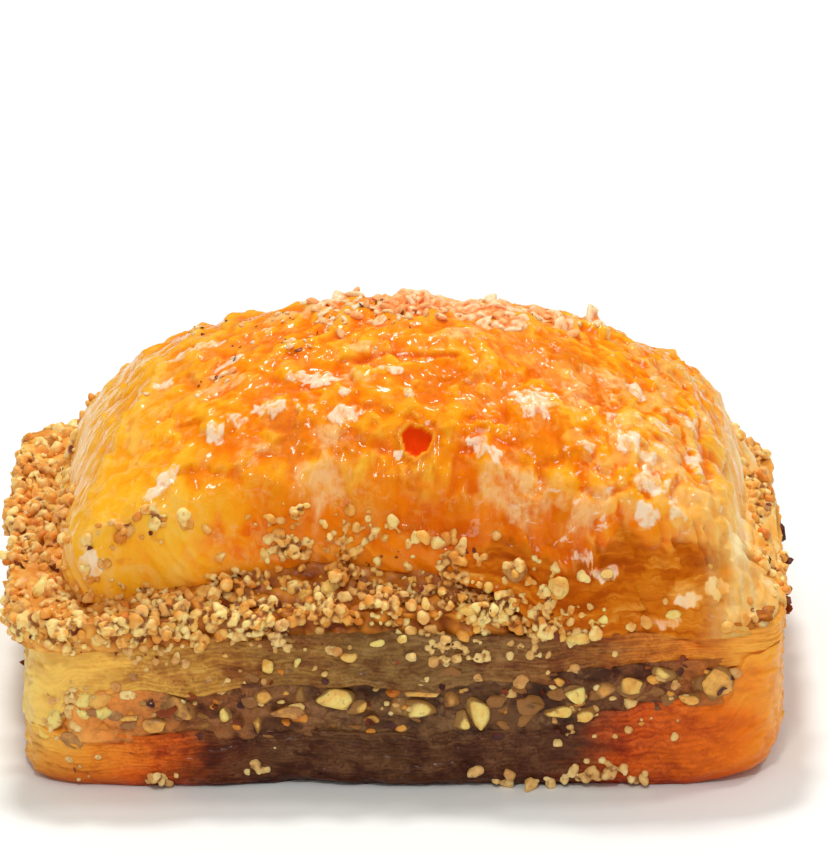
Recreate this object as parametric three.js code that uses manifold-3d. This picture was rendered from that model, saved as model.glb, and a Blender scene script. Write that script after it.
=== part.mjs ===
// A piece of walnut baklava: three stacks of thin pastry sheets with two layers of chopped nuts
// between them. The top stack is the crust, which has puffed up into a wrinkled dome and shrunk in
// from the cut edges, so that nuts lie bare beside it. Ground nuts are strewn over it.
// Millimetres, +Z up. The origin is the middle of the underside, and the front cut face looks along -Y.

import * as THREE from "three";
import { mergeVertices } from "three/addons/utils/BufferGeometryUtils.js";
import Module from "manifold-3d";

const wasm = await Module();
wasm.setup();

// ---------------------------------------------------------------- driving dimensions

const WIDTH = 48; // the cut piece, side to side
const DEPTH = 32; // the cut piece, front to back
const SQUARENESS = 11; // superellipse exponent of the cut piece's outline
const EDGE_WANDER = 0.45; // how far the cut faces stray in and out
const EDGE_WAVELENGTH = 7;
const GAP = 0.3; // clearance between neighbouring layers

// Heights of the seams at the left face, in the middle and at the right face.
const BOTTOM_STACK_TOP = [3.5, 3.5, 6.0];
const LOWER_NUTS_TOP = [6.3, 6.9, 8.4];
const MIDDLE_STACK_TOP = [9.4, 10.3, 10.4];
const SEAM_WAVE = 0.25; // how far a seam waves up and down along its way
const SEAM_WAVELENGTH = 13;

const BOTTOM_SHEETS = 5; // sheet edges that show on the cut, each a few leaves stuck together
const MIDDLE_SHEETS = 4;
const CRUST_SHEETS = 3;
const SHEET_RELIEF = 0.32; // how far sheet edges stand out of the grooves between them
const SHEET_STRAY = 0.3; // how far each sheet wanders in and out along the cut
const UNDERSIDE_BEVEL = 0.8; // the lowest sheets curl up a little at the rim

const CRUST_WIDTH = 43.6;
const CRUST_DEPTH = 29;
const CRUST_CENTRE = [0.2, -0.8];
const CRUST_SQUARENESS = 5;
const CRUST_RAGGEDNESS = 0.6; // how far its outline strays in and out
const CRUST_RIM = 12.7; // height of its upper rim
const CRUST_PEAK = 25.6;
const DOME_ACROSS = [2.4, 0.54]; // powers of the dome's profile from side to side
const DOME_ALONG = [2.4, 0.58]; // and from front to back
const FRONT_ARCH = 3.4; // the rim rises this much along the front
const FRONT_RETREAT = 3.2; // the front edge draws back over the nuts, left of the middle
const RETREAT_X = -5; // middle of that stretch
const RETREAT_SPAN = 15; // and half its length
const CRUST_FLARE = 1.7; // right of the middle, the lower sheets reach out past the browned skin
const CRUST_SETBACK = 0.5; // and everywhere the skin's edge sits back a little
const THINNEST_CRUST = 1;

// At the same three places: the nuts' thickness under the crust, the height of those that lie bare
// beside it, and how far these spill past the cut faces below.
const NUTS_UNDER_CRUST = [1.3, 3, 0.9];
const NUT_SHELF = [1.7, 1.2, 0.4];
const NUT_SPILL = [1.1, -0.4, -0.7];
const NUT_HEAP = 0.6; // they are heaped this much against the crust's edge

const WRINKLE = 1.1; // height of the crust's wrinkles
const WRINKLE_SPACING = 3.6; // across them, at the dome's front
const WRINKLE_LENGTH = 11;
const WRINKLE_ROOT = [-3, 26]; // the wrinkles fan out from here, behind the dome
const BLISTER = 0.3; // height of the smaller bumps over the whole crust
const BLISTER_SPACING = 3;

const NUT_SIZES = [1.3, 2.9]; // chopped nuts in the layers
const NUTS_IN_LOWER_LAYER = 42;
const NUTS_ON_SHELF = 70;
const PROUD_NUT = [24.3, 9, 7.2]; // one large nut pokes out of the lower layer on the right
const PROUD_NUT_SIZE = 2.8;

const CRUMB_SIZES = [0.9, 1.8]; // ground nuts strewn on the crust and at its foot
const CRUMBS_ON_RIDGE = 20;
const CRUMBS_ON_FRONT = 10;
const CRUMBS_AT_FOOT = 11;
const FIRST_SEED = 11;

const LAYER_POINTS = 56; // around a layer's outline
const CRUST_GRID = 26; // squares along one side of the crust's top

// ---------------------------------------------------------------- small maths

const TURN = 2 * Math.PI;
const clamp = (value, low, high) => Math.min(high, Math.max(low, value));
const mix = (a, b, share) => a + (b - a) * share;
const blend = (low, high, value) => {
  const share = clamp((value - low) / (high - low), 0, 1);
  return share * share * (3 - 2 * share);
};

// A repeatable number from 0 to 1 for each whole-number corner (i, j) of a grid.
function cornerValue(i, j, seed) {
  const wave = Math.sin(i * 127.1 + j * 311.7 + seed * 74.7) * 43758.5453;
  return wave - Math.floor(wave);
}

// Smooth noise from 0 to 1, one grid cell per unit.
function noise(x, y, seed) {
  const [i, j] = [Math.floor(x), Math.floor(y)];
  const [u, v] = [blend(0, 1, x - i), blend(0, 1, y - j)];
  const near = mix(cornerValue(i, j, seed), cornerValue(i + 1, j, seed), u);
  const far = mix(cornerValue(i, j + 1, seed), cornerValue(i + 1, j + 1, seed), u);
  return mix(near, far, v);
}

// Noise from -1 to 1.
const swing = (x, y, seed) => 2 * noise(x, y, seed) - 1;

// A seeded generator of numbers from 0 to 1.
function randomFrom(seed) {
  let state = seed >>> 0;
  return () => {
    state = (state + 0x6d2b79f5) >>> 0;
    let t = Math.imul(state ^ (state >>> 15), state | 1);
    t = (t + Math.imul(t ^ (t >>> 7), t | 61)) ^ t;
    return ((t ^ (t >>> 14)) >>> 0) / 4294967296;
  };
}

const sizeBetween = (random, [small, large]) => mix(small, large, random() ** 2);

// A value given for the left face, the middle and the right face, at x.
const acrossPiece = ([left, centre, right], x) =>
  mix(mix(left, centre, blend(-0.5, -0.1, x / WIDTH)), right, blend(0, 0.45, x / WIDTH));

// ---------------------------------------------------------------- the cut piece's outline and seams

// A rectangle with rounded corners, as the distance from its middle in each direction.
function roundedRectangle(width, depth, squareness) {
  return (angle) => {
    const across = Math.abs((2 * Math.cos(angle)) / width) ** squareness;
    const along = Math.abs((2 * Math.sin(angle)) / depth) ** squareness;
    return (across + along) ** (-1 / squareness);
  };
}

const pieceReach = roundedRectangle(WIDTH, DEPTH, SQUARENESS);
const crustReach = roundedRectangle(CRUST_WIDTH, CRUST_DEPTH, CRUST_SQUARENESS);

// Angles that step evenly along the cut piece's outline.
function evenAngles(count) {
  const steps = 1440;
  const at = (k) => {
    const angle = (k / steps) * TURN;
    return [pieceReach(angle) * Math.cos(angle), pieceReach(angle) * Math.sin(angle)];
  };
  const lengths = [0];
  for (let k = 1; k <= steps; k++) {
    const [a, b] = [at(k - 1), at(k)];
    lengths.push(lengths[k - 1] + Math.hypot(b[0] - a[0], b[1] - a[1]));
  }
  const angles = [];
  for (let n = 0, k = 0; n < count; n++) {
    while (lengths[k + 1] <= (n / count) * lengths[steps]) k++;
    angles.push((k / steps) * TURN);
  }
  return angles;
}

const layerAngles = evenAngles(LAYER_POINTS);

// A point of the cut piece's outline, moved outwards by offset. Its stray depends on the height too.
function outlinePoint(angle, offset, z) {
  const straight = pieceReach(angle);
  const [x, y] = [straight * Math.cos(angle), straight * Math.sin(angle)];
  const stray = EDGE_WANDER * swing(x / EDGE_WAVELENGTH + z / 9, y / EDGE_WAVELENGTH - z / 9, 3);
  const reach = straight + offset + stray;
  return [reach * Math.cos(angle), reach * Math.sin(angle)];
}

const seam = (heights, seed) => (x, y) =>
  acrossPiece(heights, x) + SEAM_WAVE * swing(x / SEAM_WAVELENGTH, y / SEAM_WAVELENGTH, seed);

const bottomStackTop = seam(BOTTOM_STACK_TOP, 21);
const lowerNutsTop = seam(LOWER_NUTS_TOP, 22);
const middleStackTop = seam(MIDDLE_STACK_TOP, 23);
const upperNutsFloor = (x, y) => middleStackTop(x, y) + GAP;

// ---------------------------------------------------------------- the crust's outline and heights

// The crust is laid out flat around its own middle, at (u, v), and then pulled into its place.
function crustFlat(angle, share, offset = 0) {
  const reach = crustReach(angle);
  const [cos, sin] = [Math.cos(angle), Math.sin(angle)];
  const ragged = CRUST_RAGGEDNESS * swing(reach * cos * 0.3, reach * sin * 0.3, 8);
  return [(reach + ragged + offset) * cos * share, (reach + ragged + offset) * sin * share];
}

// 0 behind the crust's middle, 1 at its front edge.
const frontShare = (v) => blend(0, 1, (-2 * v) / CRUST_DEPTH);

function crustPlace([u, v]) {
  const drawnBack = FRONT_RETREAT * frontShare(v) * Math.max(0, 1 - ((u - RETREAT_X) / RETREAT_SPAN) ** 2);
  return [CRUST_CENTRE[0] + u, CRUST_CENTRE[1] + v + drawnBack];
}

// A dome's profile: 1 in its middle, 0 at a distance of half its size.
const profile = (distance, size, [flatness, roundness]) =>
  Math.max(0, 1 - Math.abs((2 * distance) / size) ** flatness) ** roundness;

// The dome without its wrinkles: its rim arches up along the front.
function domeHeight([u, v]) {
  const rim = CRUST_RIM + FRONT_ARCH * profile(u, CRUST_WIDTH, [4, 1]) * frontShare(v);
  return mix(rim, CRUST_PEAK, profile(u, CRUST_WIDTH, DOME_ACROSS) * profile(v, CRUST_DEPTH, DOME_ALONG));
}

// Wrinkles fan out towards the front like the folds of a skin that slid off the dome.
function wrinkles([u, v]) {
  const [du, dv] = [u - WRINKLE_ROOT[0], v - WRINKLE_ROOT[1]];
  const across = Math.atan2(du, -dv) * 33;
  const warp = 1.2 * swing(u / 6, v / 6, 31);
  const along = Math.hypot(du, dv) / WRINKLE_LENGTH + warp / 3;
  const fold = 1 - Math.abs(swing(across / WRINKLE_SPACING + warp, along, 32));
  const bump = swing(u / BLISTER_SPACING, v / BLISTER_SPACING, 33);
  const fromEdge = 1 - Math.max(Math.abs((2 * u) / CRUST_WIDTH), Math.abs((2 * v) / CRUST_DEPTH));
  return (WRINKLE * (fold * fold - 0.5) + BLISTER * bump) * mix(0.4, 1, blend(0, 0.25, fromEdge));
}

const crustRoof = (flat) => domeHeight(flat) + wrinkles(flat);

function crustUnderside(flat) {
  const [x, y] = crustPlace(flat);
  const nutsTop = upperNutsFloor(x, y) + acrossPiece(NUTS_UNDER_CRUST, x);
  return Math.min(nutsTop, domeHeight(flat) - THINNEST_CRUST);
}

// ---------------------------------------------------------------- solids

const toSolid = (geometry) => {
  const merged = mergeVertices(geometry, 1e-4);
  return new wasm.Manifold(
    new wasm.Mesh({
      numProp: 3,
      vertProperties: new Float32Array(merged.attributes.position.array),
      triVerts: new Uint32Array(merged.index.array),
    }),
  );
};

const toGeometry = (solid) => {
  const mesh = solid.getMesh();
  const geometry = new THREE.BufferGeometry();
  geometry.setAttribute("position", new THREE.BufferAttribute(mesh.vertProperties, 3));
  geometry.setIndex(new THREE.BufferAttribute(mesh.triVerts, 1));
  geometry.computeVertexNormals();
  return geometry;
};

function skinSolid(points, faces) {
  const geometry = new THREE.BufferGeometry();
  geometry.setAttribute("position", new THREE.Float32BufferAttribute(points.flat(), 3));
  geometry.setIndex(faces);
  return toSolid(geometry);
}

// The largest body of a solid: loose scraps and sealed hollows are left behind.
const mainBody = (solid) =>
  solid.decompose().reduce((best, body) => (body.volume() > best.volume() ? body : best));

const fuse = (core, pieces) => mainBody(wasm.Manifold.union([core, ...pieces]));

// The faces between rings of points that stand on each other. Point 0 closes the lowest ring.
function ringFaces(rings) {
  const around = rings[0].length;
  const at = (ring, n) => 1 + ring * around + (n % around);
  const faces = [];
  for (let n = 0; n < around; n++) {
    faces.push(0, at(0, n + 1), at(0, n));
    for (let ring = 0; ring + 1 < rings.length; ring++) {
      const [a, b, c, d] = [at(ring, n), at(ring, n + 1), at(ring + 1, n + 1), at(ring + 1, n)];
      faces.push(a, b, c, a, c, d);
    }
  }
  return faces;
}

// A closed skin over rings of points, from the lowest ring up and over. Each end closes on one point.
function ringSolid(first, rings, last) {
  const points = [first, ...rings.flat(), last];
  const faces = ringFaces(rings);
  const around = rings[0].length;
  const top = points.length - 1;
  for (let n = 0; n < around; n++) faces.push(top, top - around + n, top - around + ((n + 1) % around));
  return skinSolid(points, faces);
}

// A layer of the cut piece between two seams. Its side rows are pushed out by relief(share, angle).
function layerSolid({ floor, roof, rows, relief, floorBevel = 0 }) {
  const inner = (height, share) =>
    layerAngles.map((angle) => {
      const [x, y] = outlinePoint(angle, relief(share, angle), 0).map((c) => 0.5 * c);
      return [x, y, height(x, y)];
    });
  const side = (share) =>
    layerAngles.map((angle) => {
      const offset = relief(share, angle) - (share === 0 ? floorBevel : 0);
      const [x, y] = outlinePoint(angle, offset, share * (roof(0, 0) - floor(0, 0)));
      return [x, y, mix(floor(x, y), roof(x, y), share)];
    });
  const sides = Array.from({ length: rows + 1 }, (_, row) => side(row / rows));
  return ringSolid([0, 0, floor(0, 0)], [inner(floor, 0), ...sides, inner(roof, 1)], [0, 0, roof(0, 0)]);
}

// Sheet edges: every other row stands out, and each sheet strays in and out along the cut.
function sheetRelief(sheets, seed) {
  return (share, angle) => {
    const row = Math.round(share * 2 * sheets);
    const [cos, sin] = [Math.cos(angle), Math.sin(angle)];
    const standsOut = row % 2 ? SHEET_RELIEF * mix(0.6, 1.4, noise(9 * cos, 9 * sin + row, seed)) : 0;
    return standsOut + SHEET_STRAY * swing(5 * cos + 7 * row, 5 * sin, seed);
  };
}

const FURTHEST_RELIEF = 1.4 * SHEET_RELIEF + SHEET_STRAY;

const pastryStack = ({ floor, roof, sheets, seed, floorBevel }) =>
  layerSolid({ floor, roof, rows: 2 * sheets, relief: sheetRelief(sheets, seed), floorBevel });

// One chopped nut: a knobbly lump with flat broken faces, squeezed to fit between two heights.
function nutPiece(random, size, [x, y, z], lowest, highest) {
  const lump = new THREE.IcosahedronGeometry(0.5, 0);
  lump.deleteAttribute("normal").deleteAttribute("uv");
  const knobbly = mergeVertices(lump, 1e-4);
  const position = knobbly.attributes.position;
  const corner = new THREE.Vector3();
  for (let n = 0; n < position.count; n++) {
    corner.fromBufferAttribute(position, n).multiplyScalar(mix(0.7, 1.15, random()));
    position.setXYZ(n, corner.x, corner.y, corner.z);
  }
  const [long, flat] = [mix(0.9, 1.3, random()), mix(0.6, 0.9, random())];
  const tumble = new THREE.Euler(random() * TURN, random() * TURN, random() * TURN);
  const shape = new THREE.Matrix4().makeRotationFromEuler(tumble);
  knobbly.applyMatrix4(shape.scale(new THREE.Vector3(size * long, size, size * flat)));
  knobbly.center();
  const tall = knobbly.boundingBox.max.z - knobbly.boundingBox.min.z;
  const squeeze = Math.min(1, (highest - lowest) / tall);
  const half = 0.5 * tall * squeeze;
  knobbly.scale(1, 1, squeeze);
  knobbly.translate(x, y, clamp(z, lowest + half, Math.max(lowest + half, highest - half)));
  return toSolid(knobbly);
}

// ---------------------------------------------------------------- the lower layers

function bottomPastry() {
  const stack = pastryStack({
    floor: () => 0,
    roof: bottomStackTop,
    sheets: BOTTOM_SHEETS,
    seed: 41,
    floorBevel: UNDERSIDE_BEVEL,
  });
  const random = randomFrom(FIRST_SEED);
  const crumbs = Array.from({ length: CRUMBS_AT_FOOT }, (_, n) => {
    const size = sizeBetween(random, CRUMB_SIZES);
    const x = mix(4.5, 15.5, (n + random()) / CRUMBS_AT_FOOT);
    const y = -0.5 * DEPTH + mix(-0.2, 0.4, random());
    return nutPiece(random, size, [x, y, mix(0.5, 1.9, random())], 0.02, 2.6);
  });
  return fuse(stack, crumbs);
}

function lowerNuts() {
  const floor = (x, y) => bottomStackTop(x, y) + GAP;
  const roof = (x, y) => lowerNutsTop(x, y) - GAP;
  const relief = (share, angle) =>
    0.5 * swing(8 * Math.cos(angle), 8 * Math.sin(angle) + 3 * share, 51) - 0.6;
  const core = layerSolid({ floor, roof, rows: 2, relief });
  const random = randomFrom(FIRST_SEED + 1);
  const pieces = evenAngles(NUTS_IN_LOWER_LAYER).map((angle) => {
    const size = sizeBetween(random, NUT_SIZES);
    const [x, y] = outlinePoint(angle + 0.02 * random(), 0.4 * random() - 0.5 * size, 5);
    const [low, high] = [floor(x, y) + 0.05, roof(x, y) - 0.05];
    return nutPiece(random, size, [x, y, mix(low, high, random())], low, high);
  });
  const [proudX, proudY] = PROUD_NUT;
  const [low, high] = [floor(proudX, proudY) + 0.05, roof(proudX, proudY) - 0.05];
  pieces.push(nutPiece(random, PROUD_NUT_SIZE, PROUD_NUT, low, high));
  return fuse(core, pieces);
}

const middlePastry = () =>
  pastryStack({ floor: lowerNutsTop, roof: middleStackTop, sheets: MIDDLE_SHEETS, seed: 42 });

// ---------------------------------------------------------------- the upper nuts

// A point on the nuts that lie bare beside the crust: share 0 at the crust's edge, 1 at the outer rim.
function shelfPoint(angle, share, inset = 0) {
  const spill = acrossPiece(NUT_SPILL, outlinePoint(angle, 0, 9)[0]);
  const outer = outlinePoint(angle, spill - inset, 9);
  const edgeFlat = crustFlat(angle, 1);
  const edge = crustPlace(edgeFlat);
  const [x, y] = [mix(edge[0], outer[0], share), mix(edge[1], outer[1], share)];
  const low = upperNutsFloor(x, y) + acrossPiece(NUT_SHELF, x);
  const high = Math.max(low, crustUnderside(edgeFlat) + NUT_HEAP);
  return [x, y, mix(high, low, share ** 0.7)];
}

function upperNuts() {
  const floorRing = (share) =>
    layerAngles.map((angle) => {
      const [x, y] = shelfPoint(angle, 1).map((c) => c * share);
      return [x, y, upperNutsFloor(x, y)];
    });
  const shelfRing = (share) => layerAngles.map((angle) => shelfPoint(angle, share));
  const rings = [floorRing(0.5), floorRing(1), shelfRing(1), shelfRing(0.5), shelfRing(0)];
  const tentTop = [...CRUST_CENTRE, CRUST_RIM + 3];
  const core = ringSolid([0, 0, upperNutsFloor(0, 0)], rings, tentTop);
  const random = randomFrom(FIRST_SEED + 2);
  // Every other nut sits in the shelf's outer side, the rest on top of it.
  const pieces = evenAngles(NUTS_ON_SHELF).map((angle, n) => {
    const size = sizeBetween(random, NUT_SIZES);
    const share = n % 2 ? 1 : random() ** 0.5;
    const [x, y, top] = shelfPoint(angle + 0.02 * random(), share, 0.35 * size);
    const low = upperNutsFloor(x, y) + 0.05;
    return nutPiece(random, size, [x, y, n % 2 ? mix(low, top, random()) : top], low, top + 0.6 * size);
  });
  return mainBody(fuse(core, pieces).subtract(crustRoom()));
}

// ---------------------------------------------------------------- the crust

// Its top is a grid of nested squares, each stretched to the crust's outline. This is the angle of
// grid corner (i, j) and its share of the way out.
const gridCorner = (i, j) => {
  const [s, t] = [(2 * i) / CRUST_GRID - 1, (2 * j) / CRUST_GRID - 1];
  return [Math.atan2(t * CRUST_DEPTH, s * CRUST_WIDTH), Math.max(Math.abs(s), Math.abs(t))];
};

// The grid's outermost corners, going round from the front left.
const gridRim = Array.from({ length: 4 * CRUST_GRID }, (_, n) => {
  const [side, step, far] = [Math.floor(n / CRUST_GRID), n % CRUST_GRID, CRUST_GRID];
  return [[step, 0], [far, step], [far - step, far], [0, far - step]][side];
});

const crustAngles = gridRim.map(([i, j]) => gridCorner(i, j)[0]);

// How far the lower sheets reach past the browned skin at this angle.
const flare = (angle) => CRUST_FLARE * blend(-0.4, 0.4, Math.cos(angle) - 0.25 * Math.sin(angle));

// A ring of points around the crust. Its heights are taken before it is moved out by the offset.
const crustRing = (share, offset, height) =>
  crustAngles.map((angle) => [
    ...crustPlace(crustFlat(angle, share, offset(angle))),
    height(crustFlat(angle, share)),
  ]);

// Rings along the crust's underside, lowered by the drop.
const undersideRings = (drop) =>
  [0.5, 1].map((share) => crustRing(share, () => 0, (flat) => crustUnderside(flat) - drop));

function crustShell() {
  const rings = undersideRings(0);
  const relief = sheetRelief(CRUST_SHEETS, 43);
  for (let row = 0; row <= 2 * CRUST_SHEETS; row++) {
    const share = row / (2 * CRUST_SHEETS);
    const out = (angle) => relief(share, angle) + flare(angle) * (1 - share) - CRUST_SETBACK * share;
    rings.push(crustRing(1, out, (flat) => mix(crustUnderside(flat), crustRoof(flat), share)));
  }
  const points = [[...crustPlace([0, 0]), crustUnderside([0, 0])], ...rings.flat()];
  const faces = ringFaces(rings);
  const rimStart = points.length - gridRim.length;
  const index = new Map(gridRim.map(([i, j], n) => [`${i},${j}`, rimStart + n]));
  for (let i = 1; i < CRUST_GRID; i++) {
    for (let j = 1; j < CRUST_GRID; j++) {
      const flat = crustFlat(...gridCorner(i, j));
      index.set(`${i},${j}`, points.length);
      points.push([...crustPlace(flat), crustRoof(flat)]);
    }
  }
  for (let i = 0; i < CRUST_GRID; i++) {
    for (let j = 0; j < CRUST_GRID; j++) {
      const corners = [[i, j], [i + 1, j], [i + 1, j + 1], [i, j + 1]];
      const [a, b, c, d] = corners.map(([p, q]) => index.get(`${p},${q}`));
      faces.push(a, b, c, a, c, d);
    }
  }
  return skinSolid(points, faces);
}

// The room that the crust needs, with its clearance: everything above its underside.
function crustRoom() {
  const wall = (angle) => FURTHEST_RELIEF + flare(angle) + GAP;
  const floor = (flat) => crustUnderside(flat) - GAP;
  const ceiling = 2 * CRUST_PEAK;
  const rings = [...undersideRings(GAP), crustRing(1, wall, floor), crustRing(1, wall, () => ceiling)];
  const middle = crustPlace([0, 0]);
  return ringSolid([...middle, floor([0, 0])], rings, [...middle, ceiling]);
}

function topPastry() {
  const random = randomFrom(FIRST_SEED + 3);
  // Crumbs strewn over a patch of the crust.
  const strew = (count, [left, right], [front, back]) =>
    Array.from({ length: count }, (_, n) => {
      const size = sizeBetween(random, CRUMB_SIZES);
      const flat = [mix(left, right, (n + random()) / count), mix(front, back, random())];
      const z = crustRoof(flat) + 0.2 * size;
      return nutPiece(random, size, [...crustPlace(flat), z], z - 0.6, z + size);
    });
  const ridge = strew(CRUMBS_ON_RIDGE, [-6, 12], [1, 5.5]);
  const front = strew(CRUMBS_ON_FRONT, [-15, 4], [-14, -12.6]);
  return fuse(crustShell(), [...ridge, ...front]);
}

// ---------------------------------------------------------------- materials and the finished piece

const finish = (color, roughness) => new THREE.MeshStandardMaterial({ color, roughness, metalness: 0 });

const layers = [
  ["bottom_pastry", bottomPastry(), finish(0x9a5a22, 0.35)],
  ["lower_nuts", lowerNuts(), finish(0xb8925a, 0.6)],
  ["middle_pastry", middlePastry(), finish(0xb0884a, 0.4)],
  ["upper_nuts", upperNuts(), finish(0xd8a765, 0.65)],
  ["top_pastry", topPastry(), finish(0xe8891c, 0.18)],
];

const baklava = new THREE.Group();
for (const [name, solid, material] of layers) {
  const mesh = new THREE.Mesh(toGeometry(solid), material);
  mesh.name = name;
  baklava.add(mesh);
}

// The origin is the middle of the whole footprint, nuts that stand proud included.
const footprint = new THREE.Box3().setFromObject(baklava).getCenter(new THREE.Vector3());
baklava.position.set(-footprint.x, -footprint.y, 0);

export default baklava;
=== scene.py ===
# %% [markdown]
# # A piece of walnut baklava
#
# Baklava is a tray of very thin pastry sheets with ground walnuts between them, baked, soaked in
# syrup and cut into small blocks. This lesson dresses one block: a bottom stack of sheets, chopped
# nuts, a middle stack, more nuts, and a crust that has puffed up into a wrinkled dome.
#
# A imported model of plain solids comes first, and every piece made here stands for one of them. All
# sizes are written in millimetres and turned into metres when a mesh gets its points.

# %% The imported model
import math

import bmesh
import bpy
import numpy as np
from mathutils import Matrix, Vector
from mathutils.bvhtree import BVHTree
from mathutils.kdtree import KDTree


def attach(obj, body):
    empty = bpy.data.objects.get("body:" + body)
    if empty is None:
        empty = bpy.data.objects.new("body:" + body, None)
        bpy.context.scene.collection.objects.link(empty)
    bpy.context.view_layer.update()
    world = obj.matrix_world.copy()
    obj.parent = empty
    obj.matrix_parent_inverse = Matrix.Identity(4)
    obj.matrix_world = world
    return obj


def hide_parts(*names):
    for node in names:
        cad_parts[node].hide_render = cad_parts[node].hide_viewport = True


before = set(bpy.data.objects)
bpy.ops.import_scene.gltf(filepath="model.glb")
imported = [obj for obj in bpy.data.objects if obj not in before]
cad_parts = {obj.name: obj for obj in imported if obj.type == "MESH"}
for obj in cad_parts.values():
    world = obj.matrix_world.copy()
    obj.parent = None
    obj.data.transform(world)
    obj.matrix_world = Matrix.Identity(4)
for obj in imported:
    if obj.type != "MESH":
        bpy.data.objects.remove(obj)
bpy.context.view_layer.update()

MM = 0.001
print("solids:", sorted(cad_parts))

# %% [markdown]
# ## The shape of the block
#
# The solids were drawn from a few rules: a rounded rectangle for the cut block, wavy seams between
# its layers, and a dome for the crust. The dressed pieces have to lie exactly where the solids are,
# so the same rules are written again here, for whole arrays of points at once. The last number that
# each kind of noise takes is its seed: the same seed always gives the same bumps.

# %% Smooth steps and a repeatable noise
def mix(a, b, share):
    return a + (b - a) * share


def blend(low, high, value):
    share = np.clip((value - low) / (high - low), 0, 1)
    return share * share * (3 - 2 * share)


def corner_value(i, j, seed):
    """A repeatable number from 0 to 1 for each whole-number corner (i, j) of a grid."""
    wave = np.sin(i * 127.1 + j * 311.7 + seed * 74.7) * 43758.5453
    return wave - np.floor(wave)


def noise(x, y, seed):
    """Smooth noise from 0 to 1, one grid cell per unit."""
    i, j = np.floor(x), np.floor(y)
    u, v = blend(0, 1, x - i), blend(0, 1, y - j)
    near = mix(corner_value(i, j, seed), corner_value(i + 1, j, seed), u)
    far = mix(corner_value(i, j + 1, seed), corner_value(i + 1, j + 1, seed), u)
    return mix(near, far, v)


def swing(x, y, seed):
    return 2 * noise(x, y, seed) - 1


def rough(x, y, seed, octaves=3):
    """Noise of several sizes on top of each other, each turned so that no grid shows. About -1 to 1."""
    total, weight = 0, 0
    for octave in range(octaves):
        turn = 0.7 + 1.1 * octave
        c, s = math.cos(turn) * 2**octave, math.sin(turn) * 2**octave
        total = total + swing(c * x - s * y, s * x + c * y, seed + octave) / 2**octave
        weight += 1 / 2**octave
    return 1.4 * total / weight


def cells(x, y, seed):
    """How far off the nearest of the points strewn one per unit square is, and that point's own number."""
    first, name = np.full(x.shape, 9.0), np.zeros(x.shape)
    for di in (-1, 0, 1):
        for dj in (-1, 0, 1):
            i, j = np.floor(x) + di, np.floor(y) + dj
            away = np.hypot(i + corner_value(i, j, seed) - x, j + corner_value(i, j, seed + 3) - y)
            name = np.where(away < first, corner_value(i, j, seed + 6), name)
            first = np.minimum(first, away)
    return first, name


FLAKE_SHARPNESS = 13  # the higher, the harder the steps between flakes


def facets(x, y, seed):
    """Tilted flakes, one per unit, with soft steps between them, like crumpled paper. About -0.5 to 0.5."""
    total, weight = 0, 0
    for di in (-1, 0, 1):
        for dj in (-1, 0, 1):
            i, j = np.floor(x) + di, np.floor(y) + dj
            dx, dy = x - i - corner_value(i, j, seed), y - j - corner_value(i, j, seed + 3)
            near = np.exp(-FLAKE_SHARPNESS * (dx * dx + dy * dy))
            tilt_x, tilt_y = 2 * corner_value(i, j, seed + 6) - 1, 2 * corner_value(i, j, seed + 9) - 1
            total = total + near * (tilt_x * dx + tilt_y * dy + 0.6 * corner_value(i, j, seed + 12) - 0.3)
            weight = weight + near
    return total / weight


print("noise at (0.5, 0.5):", round(float(noise(np.array(0.5), np.array(0.5), 3)), 4))

# %% [markdown]
# ### Outline and seams
#
# The three numbers of a seam are its heights at the left face, in the middle and at the right face.

# %% The cut block's outline and seams
WIDTH, DEPTH = 48.0, 32.0
FOOTPRINT_SHIFT = np.array([0.049, 0.157, 0.0])  # the solids' outline was centred on the origin by this
EDGE_WANDER, EDGE_WAVELENGTH = 0.45, 7.0
SEAM_WAVE, SEAM_WAVELENGTH = 0.25, 13.0
BOTTOM_STACK_TOP = (3.5, 3.5, 6.0)
LOWER_NUTS_TOP = (6.3, 6.9, 8.4)
MIDDLE_STACK_TOP = (9.4, 10.3, 10.4)
SEAM_GAP = 0.3  # the solids keep this apart; in the dressed block the layers stick together


def across_piece(heights, x):
    left, middle, right = heights
    return mix(mix(left, middle, blend(-0.5, -0.1, x / WIDTH)), right, blend(0, 0.45, x / WIDTH))


def rounded_rectangle(width, depth, squareness):
    def reach(angle):
        across = np.abs(2 * np.cos(angle) / width) ** squareness
        along = np.abs(2 * np.sin(angle) / depth) ** squareness
        return (across + along) ** (-1 / squareness)

    return reach


piece_reach = rounded_rectangle(WIDTH, DEPTH, 11)


def even_angle(turn):
    """The angle at a share of the way round the outline, so that equal shares are equal lengths."""
    angles = np.linspace(0, 2 * math.pi, 2881)
    x, y = piece_reach(angles) * np.cos(angles), piece_reach(angles) * np.sin(angles)
    lengths = np.concatenate([[0], np.cumsum(np.hypot(np.diff(x), np.diff(y)))])
    return np.interp(turn, lengths / lengths[-1], angles)


def outline_point(angle, offset, z):
    straight = piece_reach(angle)
    x, y = straight * np.cos(angle), straight * np.sin(angle)
    stray = EDGE_WANDER * swing(x / EDGE_WAVELENGTH + z / 9, y / EDGE_WAVELENGTH - z / 9, 3)
    reach = straight + offset + stray
    return reach * np.cos(angle), reach * np.sin(angle)


def held_back(x, y, z, proud):
    """Pulls back the points that stand out of the cut faces by more than they may, as the knife does."""
    angle = np.arctan2(y, x)
    face_x, face_y = outline_point(angle, proud, z)
    share = np.minimum(1, np.hypot(face_x, face_y) / np.maximum(np.hypot(x, y), 1e-6))
    return x * share, y * share


def seam(heights, seed):
    def height(x, y):
        wave = swing(x / SEAM_WAVELENGTH, y / SEAM_WAVELENGTH, seed)
        return across_piece(heights, x) + SEAM_WAVE * wave

    return height


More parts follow.
